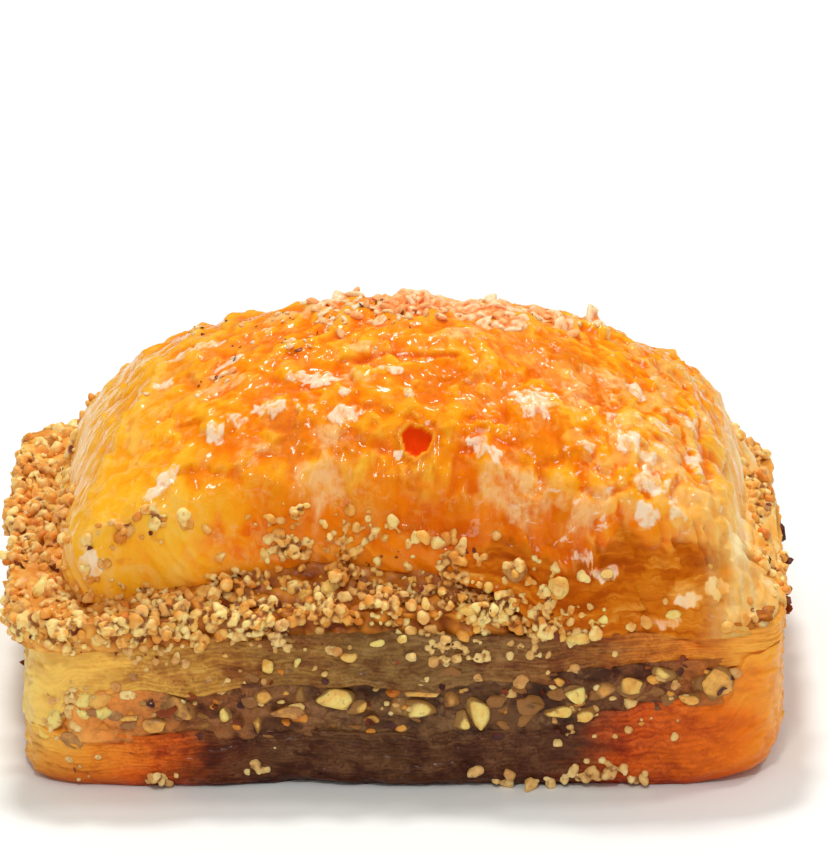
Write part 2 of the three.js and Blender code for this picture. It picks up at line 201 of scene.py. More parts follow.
bottom_stack_top = seam(BOTTOM_STACK_TOP, 21)
lower_nuts_top = seam(LOWER_NUTS_TOP, 22)
middle_stack_top = seam(MIDDLE_STACK_TOP, 23)


def upper_nuts_floor(x, y):
    return middle_stack_top(x, y) + SEAM_GAP


origin = np.zeros(1)
print("seam heights in the middle:", [round(float(f(origin, origin)[0]), 2) for f in
                                      (bottom_stack_top, lower_nuts_top, middle_stack_top)])

# %% [markdown]
# ### The dome
#
# The crust is laid out flat around its own middle, at (u, v), and then pulled into its place: its
# front edge draws back over the nuts, left of the middle. Its height is a dome with wrinkles that fan
# out towards the front, like the folds of a skin that slid off.

# %% The crust's outline and heights
CRUST_WIDTH, CRUST_DEPTH = 43.6, 29.0
CRUST_CENTRE = (0.2, -0.8)
CRUST_RAGGEDNESS = 0.6
CRUST_RIM, CRUST_PEAK = 12.7, 25.6
DOME_ACROSS, DOME_ALONG = (2.4, 0.54), (2.4, 0.58)
FRONT_ARCH, FRONT_RETREAT, RETREAT_X, RETREAT_SPAN = 3.4, 3.2, -5.0, 15.0
CRUST_FLARE, CRUST_SETBACK, THINNEST_CRUST = 1.7, 0.5, 1.0
NUTS_UNDER_CRUST = (1.3, 3.0, 0.9)
NUT_SHELF = (1.7, 1.2, 0.4)
NUT_SPILL = (1.1, -0.4, -0.7)
NUT_HEAP = 0.6
SHELF_LEVEL = 9  # a height near the shelf, which sets how its outline wanders
WRINKLE, WRINKLE_SPACING, WRINKLE_LENGTH = 1.1, 3.6, 11.0
WRINKLE_ROOT, FAN_RADIUS = (-3.0, 26.0), 33  # the folds' width is measured this far from their root
BLISTER, BLISTER_SPACING = 0.3, 3.0

crust_reach = rounded_rectangle(CRUST_WIDTH, CRUST_DEPTH, 5)


def crust_flat(angle, share, offset=0.0):
    reach = crust_reach(angle)
    ragged = CRUST_RAGGEDNESS * swing(reach * np.cos(angle) * 0.3, reach * np.sin(angle) * 0.3, 8)
    out = (reach + ragged + offset) * share
    return out * np.cos(angle), out * np.sin(angle)


def front_share(v):
    return blend(0, 1, -2 * v / CRUST_DEPTH)


def crust_place(u, v):
    drawn_back = FRONT_RETREAT * front_share(v) * np.maximum(0, 1 - ((u - RETREAT_X) / RETREAT_SPAN) ** 2)
    return CRUST_CENTRE[0] + u, CRUST_CENTRE[1] + v + drawn_back


def profile(distance, size, powers):
    return np.maximum(0, 1 - np.abs(2 * distance / size) ** powers[0]) ** powers[1]


def dome_height(u, v):
    rim = CRUST_RIM + FRONT_ARCH * profile(u, CRUST_WIDTH, (4, 1)) * front_share(v)
    return mix(rim, CRUST_PEAK, profile(u, CRUST_WIDTH, DOME_ACROSS) * profile(v, CRUST_DEPTH, DOME_ALONG))


def from_crust_edge(u, v):
    return 1 - np.maximum(np.abs(2 * u / CRUST_WIDTH), np.abs(2 * v / CRUST_DEPTH))


def wrinkles(u, v):
    du, dv = u - WRINKLE_ROOT[0], v - WRINKLE_ROOT[1]
    across = np.arctan2(du, -dv) * FAN_RADIUS
    warp = 1.2 * swing(u / 6, v / 6, 31)
    along = np.hypot(du, dv) / WRINKLE_LENGTH + warp / 3
    fold = 1 - np.sqrt(swing(across / WRINKLE_SPACING + warp, along, 32) ** 2 + 0.012)
    bump = swing(u / BLISTER_SPACING, v / BLISTER_SPACING, 33)
    calm = mix(0.4, 1, blend(0, 0.25, from_crust_edge(u, v)))
    return (WRINKLE * (fold * fold - 0.5) + BLISTER * bump) * calm


def crust_roof(u, v):
    return dome_height(u, v) + wrinkles(u, v)


def crust_underside(u, v):
    x, y = crust_place(u, v)
    nuts_top = upper_nuts_floor(x, y) + across_piece(NUTS_UNDER_CRUST, x)
    return np.minimum(nuts_top, dome_height(u, v) - THINNEST_CRUST)


def crust_flare(angle):
    return CRUST_FLARE * blend(-0.4, 0.4, np.cos(angle) - 0.25 * np.sin(angle))


def shelf_point(angle, share):
    """On the nuts that lie bare beside the crust: share 0 at the crust's edge, 1 at the outer rim."""
    outline_x, _ = outline_point(angle, 0, SHELF_LEVEL)
    outer = outline_point(angle, across_piece(NUT_SPILL, outline_x), SHELF_LEVEL)
    edge_u, edge_v = crust_flat(angle, 1)
    edge = crust_place(edge_u, edge_v)
    x, y = mix(edge[0], outer[0], share), mix(edge[1], outer[1], share)
    low = upper_nuts_floor(x, y) + across_piece(NUT_SHELF, x)
    high = np.maximum(low, crust_underside(edge_u, edge_v) + NUT_HEAP)
    return x, y, mix(high, low, np.clip(share, 0, 1) ** 0.7)


print("dome height in the middle:", round(float(crust_roof(origin, origin)[0]), 2))

# %% [markdown]
# ## Helpers for modelling
#
# A mesh operator acts on all that is selected, so everything is deselected first and the wanted
# edges or faces are then picked by where they are. After the operators have given a piece the right
# faces, its points are moved to their places as arrays, which is the same as pulling them by hand
# but quicker for tens of thousands of points.

# %% Selecting and placing
def deselect():
    bpy.ops.object.select_all(action="DESELECT")


def pick(kind, test):
    """In edit mode: selects the parts of one kind that pass the test, and says how many."""
    mesh = bmesh.from_edit_mesh(bpy.context.object.data)
    bpy.ops.mesh.select_mode(type=kind)
    bpy.ops.mesh.select_all(action="DESELECT")
    chosen = [part for part in {"EDGE": mesh.edges, "FACE": mesh.faces}[kind] if test(part)]
    for part in chosen:
        part.select_set(True)
    bmesh.update_edit_mesh(bpy.context.object.data)
    return len(chosen)


def upright(edge):
    return abs(edge.verts[0].co.z - edge.verts[1].co.z) > 0.5


def points_of(piece):
    flat = np.empty(3 * len(piece.data.vertices))
    piece.data.vertices.foreach_get("co", flat)
    return flat.reshape(-1, 3)


def in_metres(x, y, z):
    """Places in the block, given in millimetres, as points of the scene."""
    return (np.stack([x, y, z], -1) + FOOTPRINT_SHIFT) * MM


def in_block(points):
    """Points of the scene as x, y and z in the block, in millimetres."""
    return (points / MM - FOOTPRINT_SHIFT).T


def set_points(piece, points):
    piece.data.vertices.foreach_set("co", points.ravel())
    piece.data.update()


def note(piece, name, values):
    """Writes one number per point, for the material to read."""
    attributes = piece.data.attributes
    attribute = attributes.get(name) or attributes.new(name, "FLOAT", "POINT")
    attribute.data.foreach_set("value", np.broadcast_to(values, len(piece.data.vertices)).astype(np.float32))


def stand_out(piece, rounds):
    """How far each point stands out of its surroundings, in mm: above 0 on a crest, below 0 in a gap."""
    edges = np.empty(2 * len(piece.data.edges), dtype=np.int64)
    piece.data.edges.foreach_get("vertices", edges)
    edges = edges.reshape(-1, 2)
    start, end = np.concatenate([edges, edges[:, ::-1]]).T
    points = points_of(piece)
    neighbours = np.maximum(np.bincount(start, minlength=len(points)), 1)[:, None]
    smooth = points.copy()
    for _ in range(rounds):
        sums = [np.bincount(start, smooth[end, axis], len(points)) for axis in range(3)]
        smooth = np.stack(sums, 1) / neighbours
    facing = np.empty(3 * len(points))
    piece.data.vertex_normals.foreach_get("vector", facing)
    return ((points - smooth) * facing.reshape(-1, 3)).sum(1) / MM


def shade_smooth(piece):
    piece.data.polygons.foreach_set("use_smooth", [True] * len(piece.data.polygons))


def report(piece):
    points = points_of(piece) / MM
    low, high = points.min(0).round(1), points.max(0).round(1)
    piece.data.calc_loop_triangles()
    print(f"{piece.name}: {len(piece.data.loop_triangles)} triangles, {list(low)} to {list(high)} mm")


def hand_over(piece, **numbers):
    """Writes the numbers that the material reads, smooths the shading and reports the piece."""
    for name, values in numbers.items():
        note(piece, name, values)
    shade_smooth(piece)
    report(piece)


# %% [markdown]
# A layer starts as a drum one unit wide and high. Its upright edges are cut into rows and its ends
# are inset into rings, which close on one point. Where a point sits on the drum (how far round, how
# far out, how high) then tells where it belongs in the block.

# %% A drum with rows and rings
def ringed_drum(name, around, rows, rings):
    deselect()
    bpy.ops.mesh.primitive_cylinder_add(vertices=around, radius=1, depth=1, end_fill_type="NGON")
    drum = bpy.context.object
    drum.name = drum.data.name = name
    bpy.ops.object.mode_set(mode="EDIT")
    pick("EDGE", upright)
    bpy.ops.mesh.subdivide(number_cuts=rows - 1)
    pick("FACE", lambda face: abs(face.normal.z) > 0.9)
    for _ in range(rings):
        bpy.ops.mesh.inset(thickness=0.98 / (rings + 1))
    bpy.ops.mesh.poke()
    bpy.ops.object.mode_set(mode="OBJECT")
    return drum


ON_FACE = 0.999  # further out than this, a point of a drum is on its side


def drum_places(drum):
    """For each point: how far round (0 to 1), how far out (0 to 1) and how high (0 to 1)."""
    points = points_of(drum)
    turn = (np.arctan2(points[:, 1], points[:, 0]) / (2 * math.pi)) % 1
    return turn, np.minimum(1, np.hypot(points[:, 0], points[:, 1])), points[:, 2] + 0.5


# %% [markdown]
# ## The pastry stacks
#
# Each stack is a dozen paper-thin sheets stuck together by butter and syrup. On the cut one sees their
# edges: fine lines that run along the face, rise and fall a little, and stand in or out where the
# knife dragged them. They could be modelled sheet by sheet, but in the real piece they are one sticky
# mass, so one skin with a ridge for every sheet is closer and lighter.

# %% Sheet edges
EDGE_HEIGHT, EDGE_STRAY, EDGE_FRAY = 0.06, 0.1, 0.08
SMEAR, FINE_SMEAR = 0.16, 0.05  # how far the knife dragged the sheets in and out
FACE_SETBACK = 0.1  # keeps the middle of that relief on the cut face
CURL_HEIGHT = 0.22  # the share of a stack's height where its underside curls in
LEVEL_CREST = 0.6  # the crest number of the level faces, which have no sheet edges


def sheet_edges(x, y, share, sheets, seed):
    """How far the edges stand out, the groove (0) or crest (1) of each sheet, and the sheet's own tone."""
    sway = 1.3 * swing(x / 6, y / 6, seed) + 1.1 * rough(x / 2.2 + 2 * share, y / 2.2, seed + 1)
    place = share * sheets + sway * 4 * share * (1 - share)
    sheet = np.clip(np.floor(place), 0, sheets - 1)
    across = np.clip(place - sheet, 0, 1)
    crest = 1 - np.abs(2 * across - 1) ** 2
    pressed = mix(0.1, 1, noise(x / 2.4 + 3.7 * sheet, y / 2.4, seed + 2) ** 1.5)
    stray = EDGE_STRAY * swing(x / 2.4 + 13.7 * sheet, y / 2.4, seed + 3)
    stray = stray + EDGE_FRAY * swing(x / 0.6 + 5.3 * sheet, y / 0.6, seed + 4)
    tone = noise(x / 2.5 + 9.1 * sheet, y / 2.5, seed + 5)
    return EDGE_HEIGHT * crest * pressed + stray, crest * pressed, tone


def pastry_stack(name, floor, roof, sheets, seed, underside_curl=0.0):
    stack = ringed_drum(name, around=960, rows=4 * sheets, rings=3)
    turn, out, share = drum_places(stack)
    angle = even_angle(turn)
    x, y = outline_point(angle, 0, 0)
    relief, crest, tone = sheet_edges(x, y, share, sheets, seed)
    smear = SMEAR * rough(x / 1.5 + share * 3, y / 1.5, seed + 9)
    smear = smear + FINE_SMEAR * rough(x / 0.45, y / 0.45 + share * 9, seed + 12)
    curl = underside_curl * np.clip(1 - share / CURL_HEIGHT, 0, 1) ** 2
    thickness = float((roof(origin, origin) - floor(origin, origin))[0])
    x, y = outline_point(angle, relief + smear - FACE_SETBACK - curl, share * thickness)
    x, y = x * out, y * out
    set_points(stack, in_metres(x, y, mix(floor(x, y), roof(x, y), share)))
    on_side = out > ON_FACE
    hand_over(stack, crest=np.where(on_side, crest, LEVEL_CREST), tone=tone)
    return stack


BOTTOM_SHEETS, MIDDLE_SHEETS = 16, 12
CORNER_LIFT = 1.2  # the front right corner of the underside is soaked least and curls up
BOTTOM_SLUMP, MIDDLE_SLUMP = 2.7, 2.9  # how far the sheets slump over the seam at the right, at the left


def seam_end(x, y):
    """1 at the front corners, where the sheets slump over the ends of the lower seam, and 0 elsewhere."""
    return blend(19.6, 21.6, np.abs(x) - 1.0 * (x < 0)) * blend(5, 11, -y)


def underside(x, y):
    return CORNER_LIFT * blend(17, 24.5, x) * blend(9, 16.5, -y)


def bottom_roof(x, y):
    closes = BOTTOM_SLUMP * seam_end(x, y) * (x > 0)
    return bottom_stack_top(x, y) + 0.5 * SEAM_GAP + closes + 0.4 * rough(x / 2.6, y / 2.6, 24)


def middle_floor(x, y):
    closes = MIDDLE_SLUMP * seam_end(x, y) * (x < 0)
    return lower_nuts_top(x, y) - 0.5 * SEAM_GAP - closes + 0.4 * rough(x / 2.8, y / 2.8, 25)


def middle_roof(x, y):
    return middle_stack_top(x, y) + 0.15 + 0.35 * rough(x / 3.1, y / 3.1, 26)


bottom_sheets = pastry_stack(
    "bottom_sheets", underside, bottom_roof, BOTTOM_SHEETS, 41, underside_curl=0.8)
middle_sheets = pastry_stack("middle_sheets", middle_floor, middle_roof, MIDDLE_SHEETS, 42)

# %% [markdown]
# ## The beds of ground nuts
#
# Between the stacks lies a moist paste of walnut ground to grit. The grit that is too fine to count
# is relief on a bed that runs through the block, and the crumbs and chopped nuts that one could pick
# out are laid on and into it later.

# %% The lower bed
def grit(x, y, z, size, seed):
    """Lumpy relief, the same all the way round: high on a grain, low between grains."""
    nearest, name = cells(x / size + 0.31 * z / size, y / size + 0.95 * z / size, seed)
    return (1 - np.minimum(1, 1.3 * nearest) ** 2) * mix(0.4, 1, name)


BED_OVERLAP = 0.3  # the beds reach this far into the sheets above and below
SEAM_LEVEL = 5  # a height in the lower seam, which sets how its outline wanders

lower_bed = ringed_drum("lower_nut_bed", around=900, rows=24, rings=3)
turn, out, share = drum_places(lower_bed)
angle = even_angle(turn)
x, y = outline_point(angle, 0, SEAM_LEVEL)
height = mix(bottom_stack_top(x, y), lower_nuts_top(x, y), share)
grains = 0.5 * grit(x, y, height, 1.5, 51) + 0.5 * grit(x, y, height, 0.6, 52)
bulge = 0.35 * grains + 0.25 * rough(x / 1.6, y / 1.6 + height / 1.2, 53) - 0.3 - 0.9 * seam_end(x, y)
x, y = outline_point(angle, bulge, SEAM_LEVEL)
x, y = x * out, y * out
z = mix(bottom_stack_top(x, y) - BED_OVERLAP, lower_nuts_top(x, y) + BED_OVERLAP, share)
set_points(lower_bed, in_metres(x, y, z))
hand_over(lower_bed, crest=grains, tone=noise(x / 1.5 + height, y / 1.5, 54))

# %% [markdown]
# The upper bed is a shelf: its side stands above the middle stack, its top slopes up to the crust's
# edge, and under the crust it fills the hollow. A drum does for it too, with the lower part of its
# side as the bed's side and the rest as the shelf.

# %% The upper bed
SIDE_SHARE = 0.3  # up to this share of the drum's side it is the bed's side
SKIN_CLEARANCE = 0.05  # keeps the bed's own skin off the ones it touches

upper_bed = ringed_drum("upper_nut_bed", around=900, rows=30, rings=6)
turn, out, high = drum_places(upper_bed)
angle = even_angle(turn)
on_shelf = np.clip((high - SIDE_SHARE) / (1 - SIDE_SHARE), 0, 1)
x, y, z = shelf_point(angle, 1 - on_shelf)
floor_z = upper_nuts_floor(x, y) - SEAM_GAP - SKIN_CLEARANCE
z = np.where(high < SIDE_SHARE, mix(floor_z, z, high / SIDE_SHARE), z)
grains = grit(x, y, z, 0.85, 55)
bulge = 0.45 * grains + 0.3 * rough(x / 2.2, y / 2.2 + z / 2, 56) - 0.5
side_share = 1 - blend(0, 0.35, on_shelf)
x, y = x + bulge * side_share * np.cos(angle), y + bulge * side_share * np.sin(angle)
z = z + bulge * blend(0, 0.2, on_shelf)
under_crust = (out < ON_FACE) & (high > 0.5)
edge_u, edge_v = crust_flat(angle, out)
crust_x, crust_y = crust_place(edge_u, edge_v)
x, y = np.where(under_crust, crust_x, x * out), np.where(under_crust, crust_y, y * out)
z = np.where(under_crust, crust_underside(edge_u, edge_v) - SKIN_CLEARANCE, z)
z = np.where((out < ON_FACE) & (high < 0.5), upper_nuts_floor(x, y) - SEAM_GAP, z)
set_points(upper_bed, in_metres(x, y, z))
hand_over(upper_bed, crest=grains, tone=noise(x / 1.5 + z, y / 1.5, 57))

# %% [markdown]
# ## The crust
#
# The top sheets dried and browned in the oven, puffed away from the rest and wrinkled. Then the syrup
# went over them. A grid is laid out flat, its rim is extruded down for the cut edge and closed below,
# and the points are lifted onto the dome. Its relief comes in sizes: folds that fan down the front,
# crinkles between them (most on the right), blisters, and the thin edges of torn sheets.

# %% A flat sheet with a rim
GRID_ACROSS, GRID_ALONG = 310, 210
RIM_ROWS = 24


def sheet_with_rim(name, across, along, rows):
    """A square sheet of size 2 at height 0. Its rim hangs to height -1, and rings close it below, at -2."""
    deselect()
    bpy.ops.mesh.primitive_grid_add(x_subdivisions=across, y_subdivisions=along, size=2)
    sheet = bpy.context.object
    sheet.name = sheet.data.name = name
    bpy.ops.object.mode_set(mode="EDIT")
    pick("EDGE", lambda edge: edge.is_boundary)
    bpy.ops.mesh.extrude_region_move(TRANSFORM_OT_translate={"value": (0, 0, -1)})
    pick("EDGE", upright)
    bpy.ops.mesh.subdivide(number_cuts=rows - 1)
    pick("EDGE", lambda edge: edge.is_boundary)
    for share in (0.8, 0.6):
        bpy.ops.mesh.extrude_region_move(TRANSFORM_OT_translate={"value": (0, 0, -0.5)})
        bpy.ops.transform.resize(value=(share, share, 1))
    bpy.ops.mesh.edge_face_add()
    bpy.ops.mesh.poke()
    bpy.ops.object.mode_set(mode="OBJECT")
    return sheet


crust = sheet_with_rim("crust", GRID_ACROSS, GRID_ALONG, RIM_ROWS)
report(crust)

# %% [markdown]
# ### Relief of the browned skin
#
# Height comes with a few numbers for the material: how browned a place is, how deep it lies between
# crests, which the finish darkens as painted shade, where pale flakes carry a painted highlight, and
# where a sheet has torn away.

# %% Folds, crinkles, blisters and torn sheets
HOLE, HOLE_RADIUS = (0.5, -11.9), (1.0, 0.8)  # a small hole where a bubble burst
CREASE = ((-3.2, -5.6), (3.0, -4.6))  # a sharp fold near the top
SKIN_TOP = (0.5, 7.0)  # the skin's streaks run down from here on all sides
# How high each kind of relief stands, in millimetres.
FOLD, CRINKLE, FINE_CRINKLE, RIDGE, BUBBLE, TORN_SHEET = 0.45, 0.26, 0.07, 0.1, 0.1, 0.06
FLAKE_LIFT, FILM_LIFT, SKIN_GRAIN = 0.13, 0.07, 0.13
CREASE_DEPTH, CREASE_WIDTH, HOLE_DEPTH, LIP_HEIGHT = 0.2, 0.2, 0.38, 0.03
FLAKE_GROWTH = (1.2, 1.15)  # the flakes below are drawn this much larger
# Places on the flat crust: middle (u, v) and half sizes.
# The pale flakes are painted highlights on slightly raised flakes; the first two are painted glints at the
# hole's edge.
GLINT_FLAKES = [
    (1.2, -10.9, 0.3, 0.16), (-0.6, -12.6, 0.22, 0.16), (-6.2, -7.4, 1.3, 0.6), (-8.2, -9.8, 1.4, 0.4),
    (-12.0, -10.7, 0.6, 0.5), (-10.7, -10.3, 0.5, 0.4), (-4.3, -10.4, 0.9, 0.6), (-15.9, -12.7, 0.9, 0.25),
    (-15.2, -12.2, 0.6, 0.2), (-13.8, 0.5, 1.4, 0.3), (-15.6, -2.1, 0.6, 0.3), (-9.0, 0.7, 0.5, 0.3),
    (4.8, -12.1, 0.9, 0.4), (7.7, -8.4, 1.3, 0.9), (15.2, -12.0, 0.8, 0.7), (15.7, -7.2, 0.6, 0.4),
    (15.1, -10.6, 0.7, 0.3), (13.7, -9.9, 0.5, 0.5), (14.4, -4.0, 0.4, 0.9), (18.3, -1.7, 0.3, 0.3),
    (13.1, -14.2, 0.7, 0.3), (18.1, -8.3, 0.5, 0.7), (-11.1, -3.4, 0.8, 0.3), (-3.8, -8.8, 0.5, 0.3),
    (0.0, -8.9, 0.4, 0.4), (-1.1, -6.6, 0.5, 0.3), (15.2, -13.4, 0.5, 0.35), (17.0, -12.9, 0.4, 0.4),
    (11.2, -10.8, 0.45, 0.25), (12.6, -8.2, 0.3, 0.45), (17.6, -4.6, 0.25, 0.5),
]
PEACH_FILMS = [
    (6.9, -13.4, 2.4, 0.9), (-5.6, -13.5, 1.5, 0.7), (-2.8, -4.4, 0.9, 0.4), (-7.6, 2.6, 1.6, 0.6),
    (12.6, -4.0, 0.9, 0.9), (-3.3, -7.6, 0.9, 0.5), (12.1, -13.3, 0.8, 0.5), (11.6, -14.0, 1.0, 0.4),
    (-9.5, -12.2, 0.9, 0.5), (16.8, -9.6, 1.0, 2.0), (-12.0, -6.0, 1.6, 0.8), (3.0, -2.6, 1.4, 0.6),
    (10.4, -7.0, 0.8, 1.2), (-5.0, -11.6, 0.8, 0.6), (18.6, -12.0, 0.8, 1.4),
]
# Painted highlights where the dome comes down at the front: across, height and half sizes.
GLINT_SPOTS = [
    (-19.4, 14.3, 0.8, 0.8), (16.3, 11.2, 0.8, 0.4), (19.6, 13.3, 0.6, 0.6), (20.6, 15.0, 0.6, 0.6),
    (21.3, 11.7, 1.1, 0.5), (12.2, 14.4, 1.0, 0.4), (11.0, 15.4, 0.8, 0.35), (17.6, 12.7, 0.7, 0.35),
]
SOAKED_PLACES = [
    (-6.9, -11.6, 2.0, 1.0), (8.4, -10.9, 2.3, 1.4), (9.6, -3.4, 2.4, 2.0), (-1.5, -13.9, 4.0, 0.7),
    (-3.4, -12.2, 1.4, 0.8), (2.4, -7.3, 3.0, 0.9), (12.2, -6.0, 1.2, 2.0), (17.0, -5.6, 1.0, 1.6),
]


def patches(u, v, places, seed, soft, growth=(1, 1)):
    """1 on ragged patches around the given places, 0 elsewhere."""
    ragged = 0.5 * rough(u / 0.9, v / 0.9, seed) + 0.5 * rough(u / 0.35, v / 0.35, seed + 3, 2)
    covered = np.zeros(u.shape)
    for middle_u, middle_v, half_u, half_v in places:
        away = np.hypot((u - middle_u) / (growth[0] * half_u), (v - middle_v) / (growth[1] * half_v)) + ragged
        covered = np.maximum(covered, 1 - blend(1 - soft, 1 + soft, away))
    return covered


def down_the_fan(u, v):
    """How far a place lies down the skin from the point that its folds fan out from, drop included."""
    return np.hypot(u - WRINKLE_ROOT[0], v - WRINKLE_ROOT[1]) + CRUST_PEAK - dome_height(u, v)


def fan(u, v, across, along, sway):
    """Places on the crust in a fan that spreads down the dome, in cells of the given size."""
    angle = np.arctan2(u - WRINKLE_ROOT[0], WRINKLE_ROOT[1] - v)
    bend = sway * rough(u / 3, v / 3, 90)
    down = down_the_fan(u, v) / along
    return angle * FAN_RADIUS / across + bend, down + 0.6 * bend + 0.3 * rough(u, v, 93)


def skin_facing(u, v):
    """The way the smooth dome faces, as three arrays."""
    step, steepest = 0.4, 1.8
    slope_u = (dome_height(u + step, v) - dome_height(u - step, v)) / (2 * step)
    slope_v = (dome_height(u, v + step) - dome_height(u, v - step)) / (2 * step)
    steep = np.hypot(slope_u, slope_v)
    ease = np.minimum(1, steepest / np.maximum(steep, 1e-6))
    length = np.sqrt(1 + (steep * ease) ** 2)
    return -slope_u * ease / length, -slope_v * ease / length, 1 / length


def crease_line(u, v):
    """1 along the sharp fold near the top, 0 away from it."""
    (start_u, start_v), (end_u, end_v) = CREASE
    line_u, line_v = end_u - start_u, end_v - start_v
    along = np.clip(((u - start_u) * line_u + (v - start_v) * line_v) / (line_u**2 + line_v**2), 0, 1)
    off_u = u - start_u - along * line_u
    off_v = v - start_v - along * line_v - 0.5 * np.sin(4 * along)
    return np.exp(-((np.hypot(off_u, off_v) / CREASE_WIDTH) ** 2))


def away_from_hole(u, v):
    """How far a place is from the middle of the hole: 1 at the hole's uneven edge."""
    angle = np.arctan2(v - HOLE[1], u - HOLE[0])
    uneven = 1 + 0.06 * np.sin(3 * angle + 1) + 0.05 * np.sin(7 * angle)
    return np.hypot((u - HOLE[0]) / HOLE_RADIUS[0], (v - HOLE[1]) / HOLE_RADIUS[1]) / uneven


def liveliness(u, v):
    """How crinkled the skin is: calm on the left, lively on the right and in a few patches."""
    lively = mix(0.35, 1, blend(3, 12, u + 2 * swing(u / 5, v / 5, 70)))
    lively = np.maximum(lively, 0.5 * blend(0.5, 0.75, noise(u / 6, v / 6, 71)))
    return lively * mix(1, 0.6, blend(-5, -10, u) * blend(8, 12, -v))


def skin_relief(u, v):
    """The skin's height over the smooth dome, and the numbers that its finish reads."""
    lively = liveliness(u, v)
    ridges = 1 - np.abs(swing(*fan(u, v, 1.3, 3.0, 1.0), 63))
    near_b, name_b = cells(u / 2.4 + 0.2 * rough(u, v, 80), v / 3.2, 65)
    blisters = np.clip(1 - (near_b / 0.36) ** 2, 0, 1) * (name_b > 0.6)
    sheets = rough(u / 5, v / 7, 66, 4)
    torn = blend(0.36, 0.39, sheets) + blend(-0.4, -0.37, sheets)
    # Painted highlights: pale flakes that the finish paints near-white.
    pale = patches(u, v, GLINT_FLAKES, 81, 0.35, FLAKE_GROWTH)
    peach = patches(u, v, PEACH_FILMS, 82, 0.4)
    soaked = patches(u, v, SOAKED_PLACES, 84, 0.5)
    crease, from_hole = crease_line(u, v), away_from_hole(u, v)
    hole = 1 - blend(0.85, 1.0, from_hole)
    lip = np.exp(-(((from_hole - 1.25) / 0.2) ** 2))
    height = (
        FOLD * facets(*fan(u, v, 2.6, 3.4, 0.9), 61) * mix(0.5, 1, lively)
        + CRINKLE * facets(*fan(u, v, 1.1, 1.4, 0.8), 62) * lively
        + FINE_CRINKLE * facets(*fan(u, v, 0.5, 0.6, 0.5), 64) * lively
        + RIDGE * (ridges - 0.6) * lively
        + BUBBLE * blisters
        + TORN_SHEET * (torn - 1)
        + FLAKE_LIFT * pale
        + FILM_LIFT * peach
        + SKIN_GRAIN * rough(u / 1.6, v / 2.4, 67)
        - CREASE_DEPTH * crease
    )
    height = height * blend(0.9, 1.5, from_hole) - HOLE_DEPTH * hole + LIP_HEIGHT * lip
    from_top = np.maximum(np.hypot(u - SKIN_TOP[0], v - SKIN_TOP[1]), 0.1)
    numbers = {
        "torn": torn / 2, "crease": crease, "hole": hole,
        "pale": pale, "peach": peach, "soaked": np.maximum(soaked, lip),
        "towards_x": (u - SKIN_TOP[0]) / from_top, "towards_y": (v - SKIN_TOP[1]) / from_top,
        "down": from_top + CRUST_PEAK - dome_height(u, v),
    }
    return height * mix(0.6, 1, blend(0, 0.1, from_crust_edge(u, v))), numbers


print("relief in the middle of the skin, in mm:", round(float(skin_relief(origin, origin)[0][0]), 3))

# %% [markdown]
# ### The cut edge
#
# On the left the skin rolls down over its own edge. At the front and on the right the knife went
# through it, so the sheets show, and at the front right corner they stand off in petals.

# %% How far the edge stands out
CRUST_SHEETS = 9
ROLLED_SIDE = math.radians(200)  # the side where the skin rolls over its edge: left, a little to the front
TATTER, ROLL_BULGE, ROLL_SETBACK, ROLL_ROUGHNESS = 0.3, 0.45, 0.1, 0.25
CORNER_SPREAD, PETAL = 1.2, 0.55  # how far the sheets spread at the front right corner

grid = points_of(crust)
turned = np.arctan2(grid[:, 1] * CRUST_DEPTH, grid[:, 0] * CRUST_WIDTH)
share_out = np.minimum(1, np.maximum(np.abs(grid[:, 0]), np.abs(grid[:, 1])))
drop = -grid[:, 2]
share_up = 1 - np.clip(drop, 0, 1)  # 1 on the skin and at its edge, 0 at the bottom of the cut edge
on_cut = (drop > 1e-4).astype(float)
rim_u, rim_v = crust_flat(turned, 1)
edge_relief, edge_crest, edge_tone = sheet_edges(rim_u, rim_v, share_up, CRUST_SHEETS, 43)

tatter = TATTER * rough(rim_u / 1.3, rim_v / 1.3, 44) * blend(0.75, 1, share_up)
cut_out_by = edge_relief + tatter + crust_flare(turned) * (1 - share_up) - CRUST_SETBACK * share_up

rolled_out_by = ROLL_BULGE * np.sin(math.pi * np.clip(1 - share_up, 0, 1)) ** 0.8 - ROLL_SETBACK
dents = rough(rim_u / 1.3 + 2 * share_up, rim_v / 1.3 - 2 * share_up, 46)
rolled_out_by = rolled_out_by + ROLL_ROUGHNESS * dents

facing = np.cos(turned - ROLLED_SIDE)
rolled = blend(0.0, 0.45, facing + 0.12 * rough(rim_u / 2.5, rim_v / 2.5, 45))
petals = facets((rim_u + rim_v) / 1.7 + 0.4 * rough(rim_u, rim_v, 97), 6 * share_up, 95) - 0.6
petals = PETAL * petals * (blend(8, 14, rim_u) * blend(-4, 4, -rim_v))
spread = CORNER_SPREAD * (1 - share_up) ** 1.5 * blend(12, 17, rim_u) * blend(-2, 5, -rim_v)
out_by = mix(cut_out_by, rolled_out_by, rolled) + spread + petals
print("the edge stands out by", out_by.min().round(2), "to", out_by.max().round(2), "mm")

# %% [markdown]
# ### Onto the dome
#
# The flat sheet is lifted onto the dome, and its relief is pushed out along the way the dome faces,
# so that crinkles on the steep sides stand out sideways and not upwards.

# %% Lifting the skin
EDGE_PULL = 8  # only the outermost points follow the edge in and out
WRINKLE_SHARE = 0.6  # the drawn relief replaces part of the plain solid's wrinkles
CUT_PROUD, CUT_ROUGHNESS = 0.1, 0.12

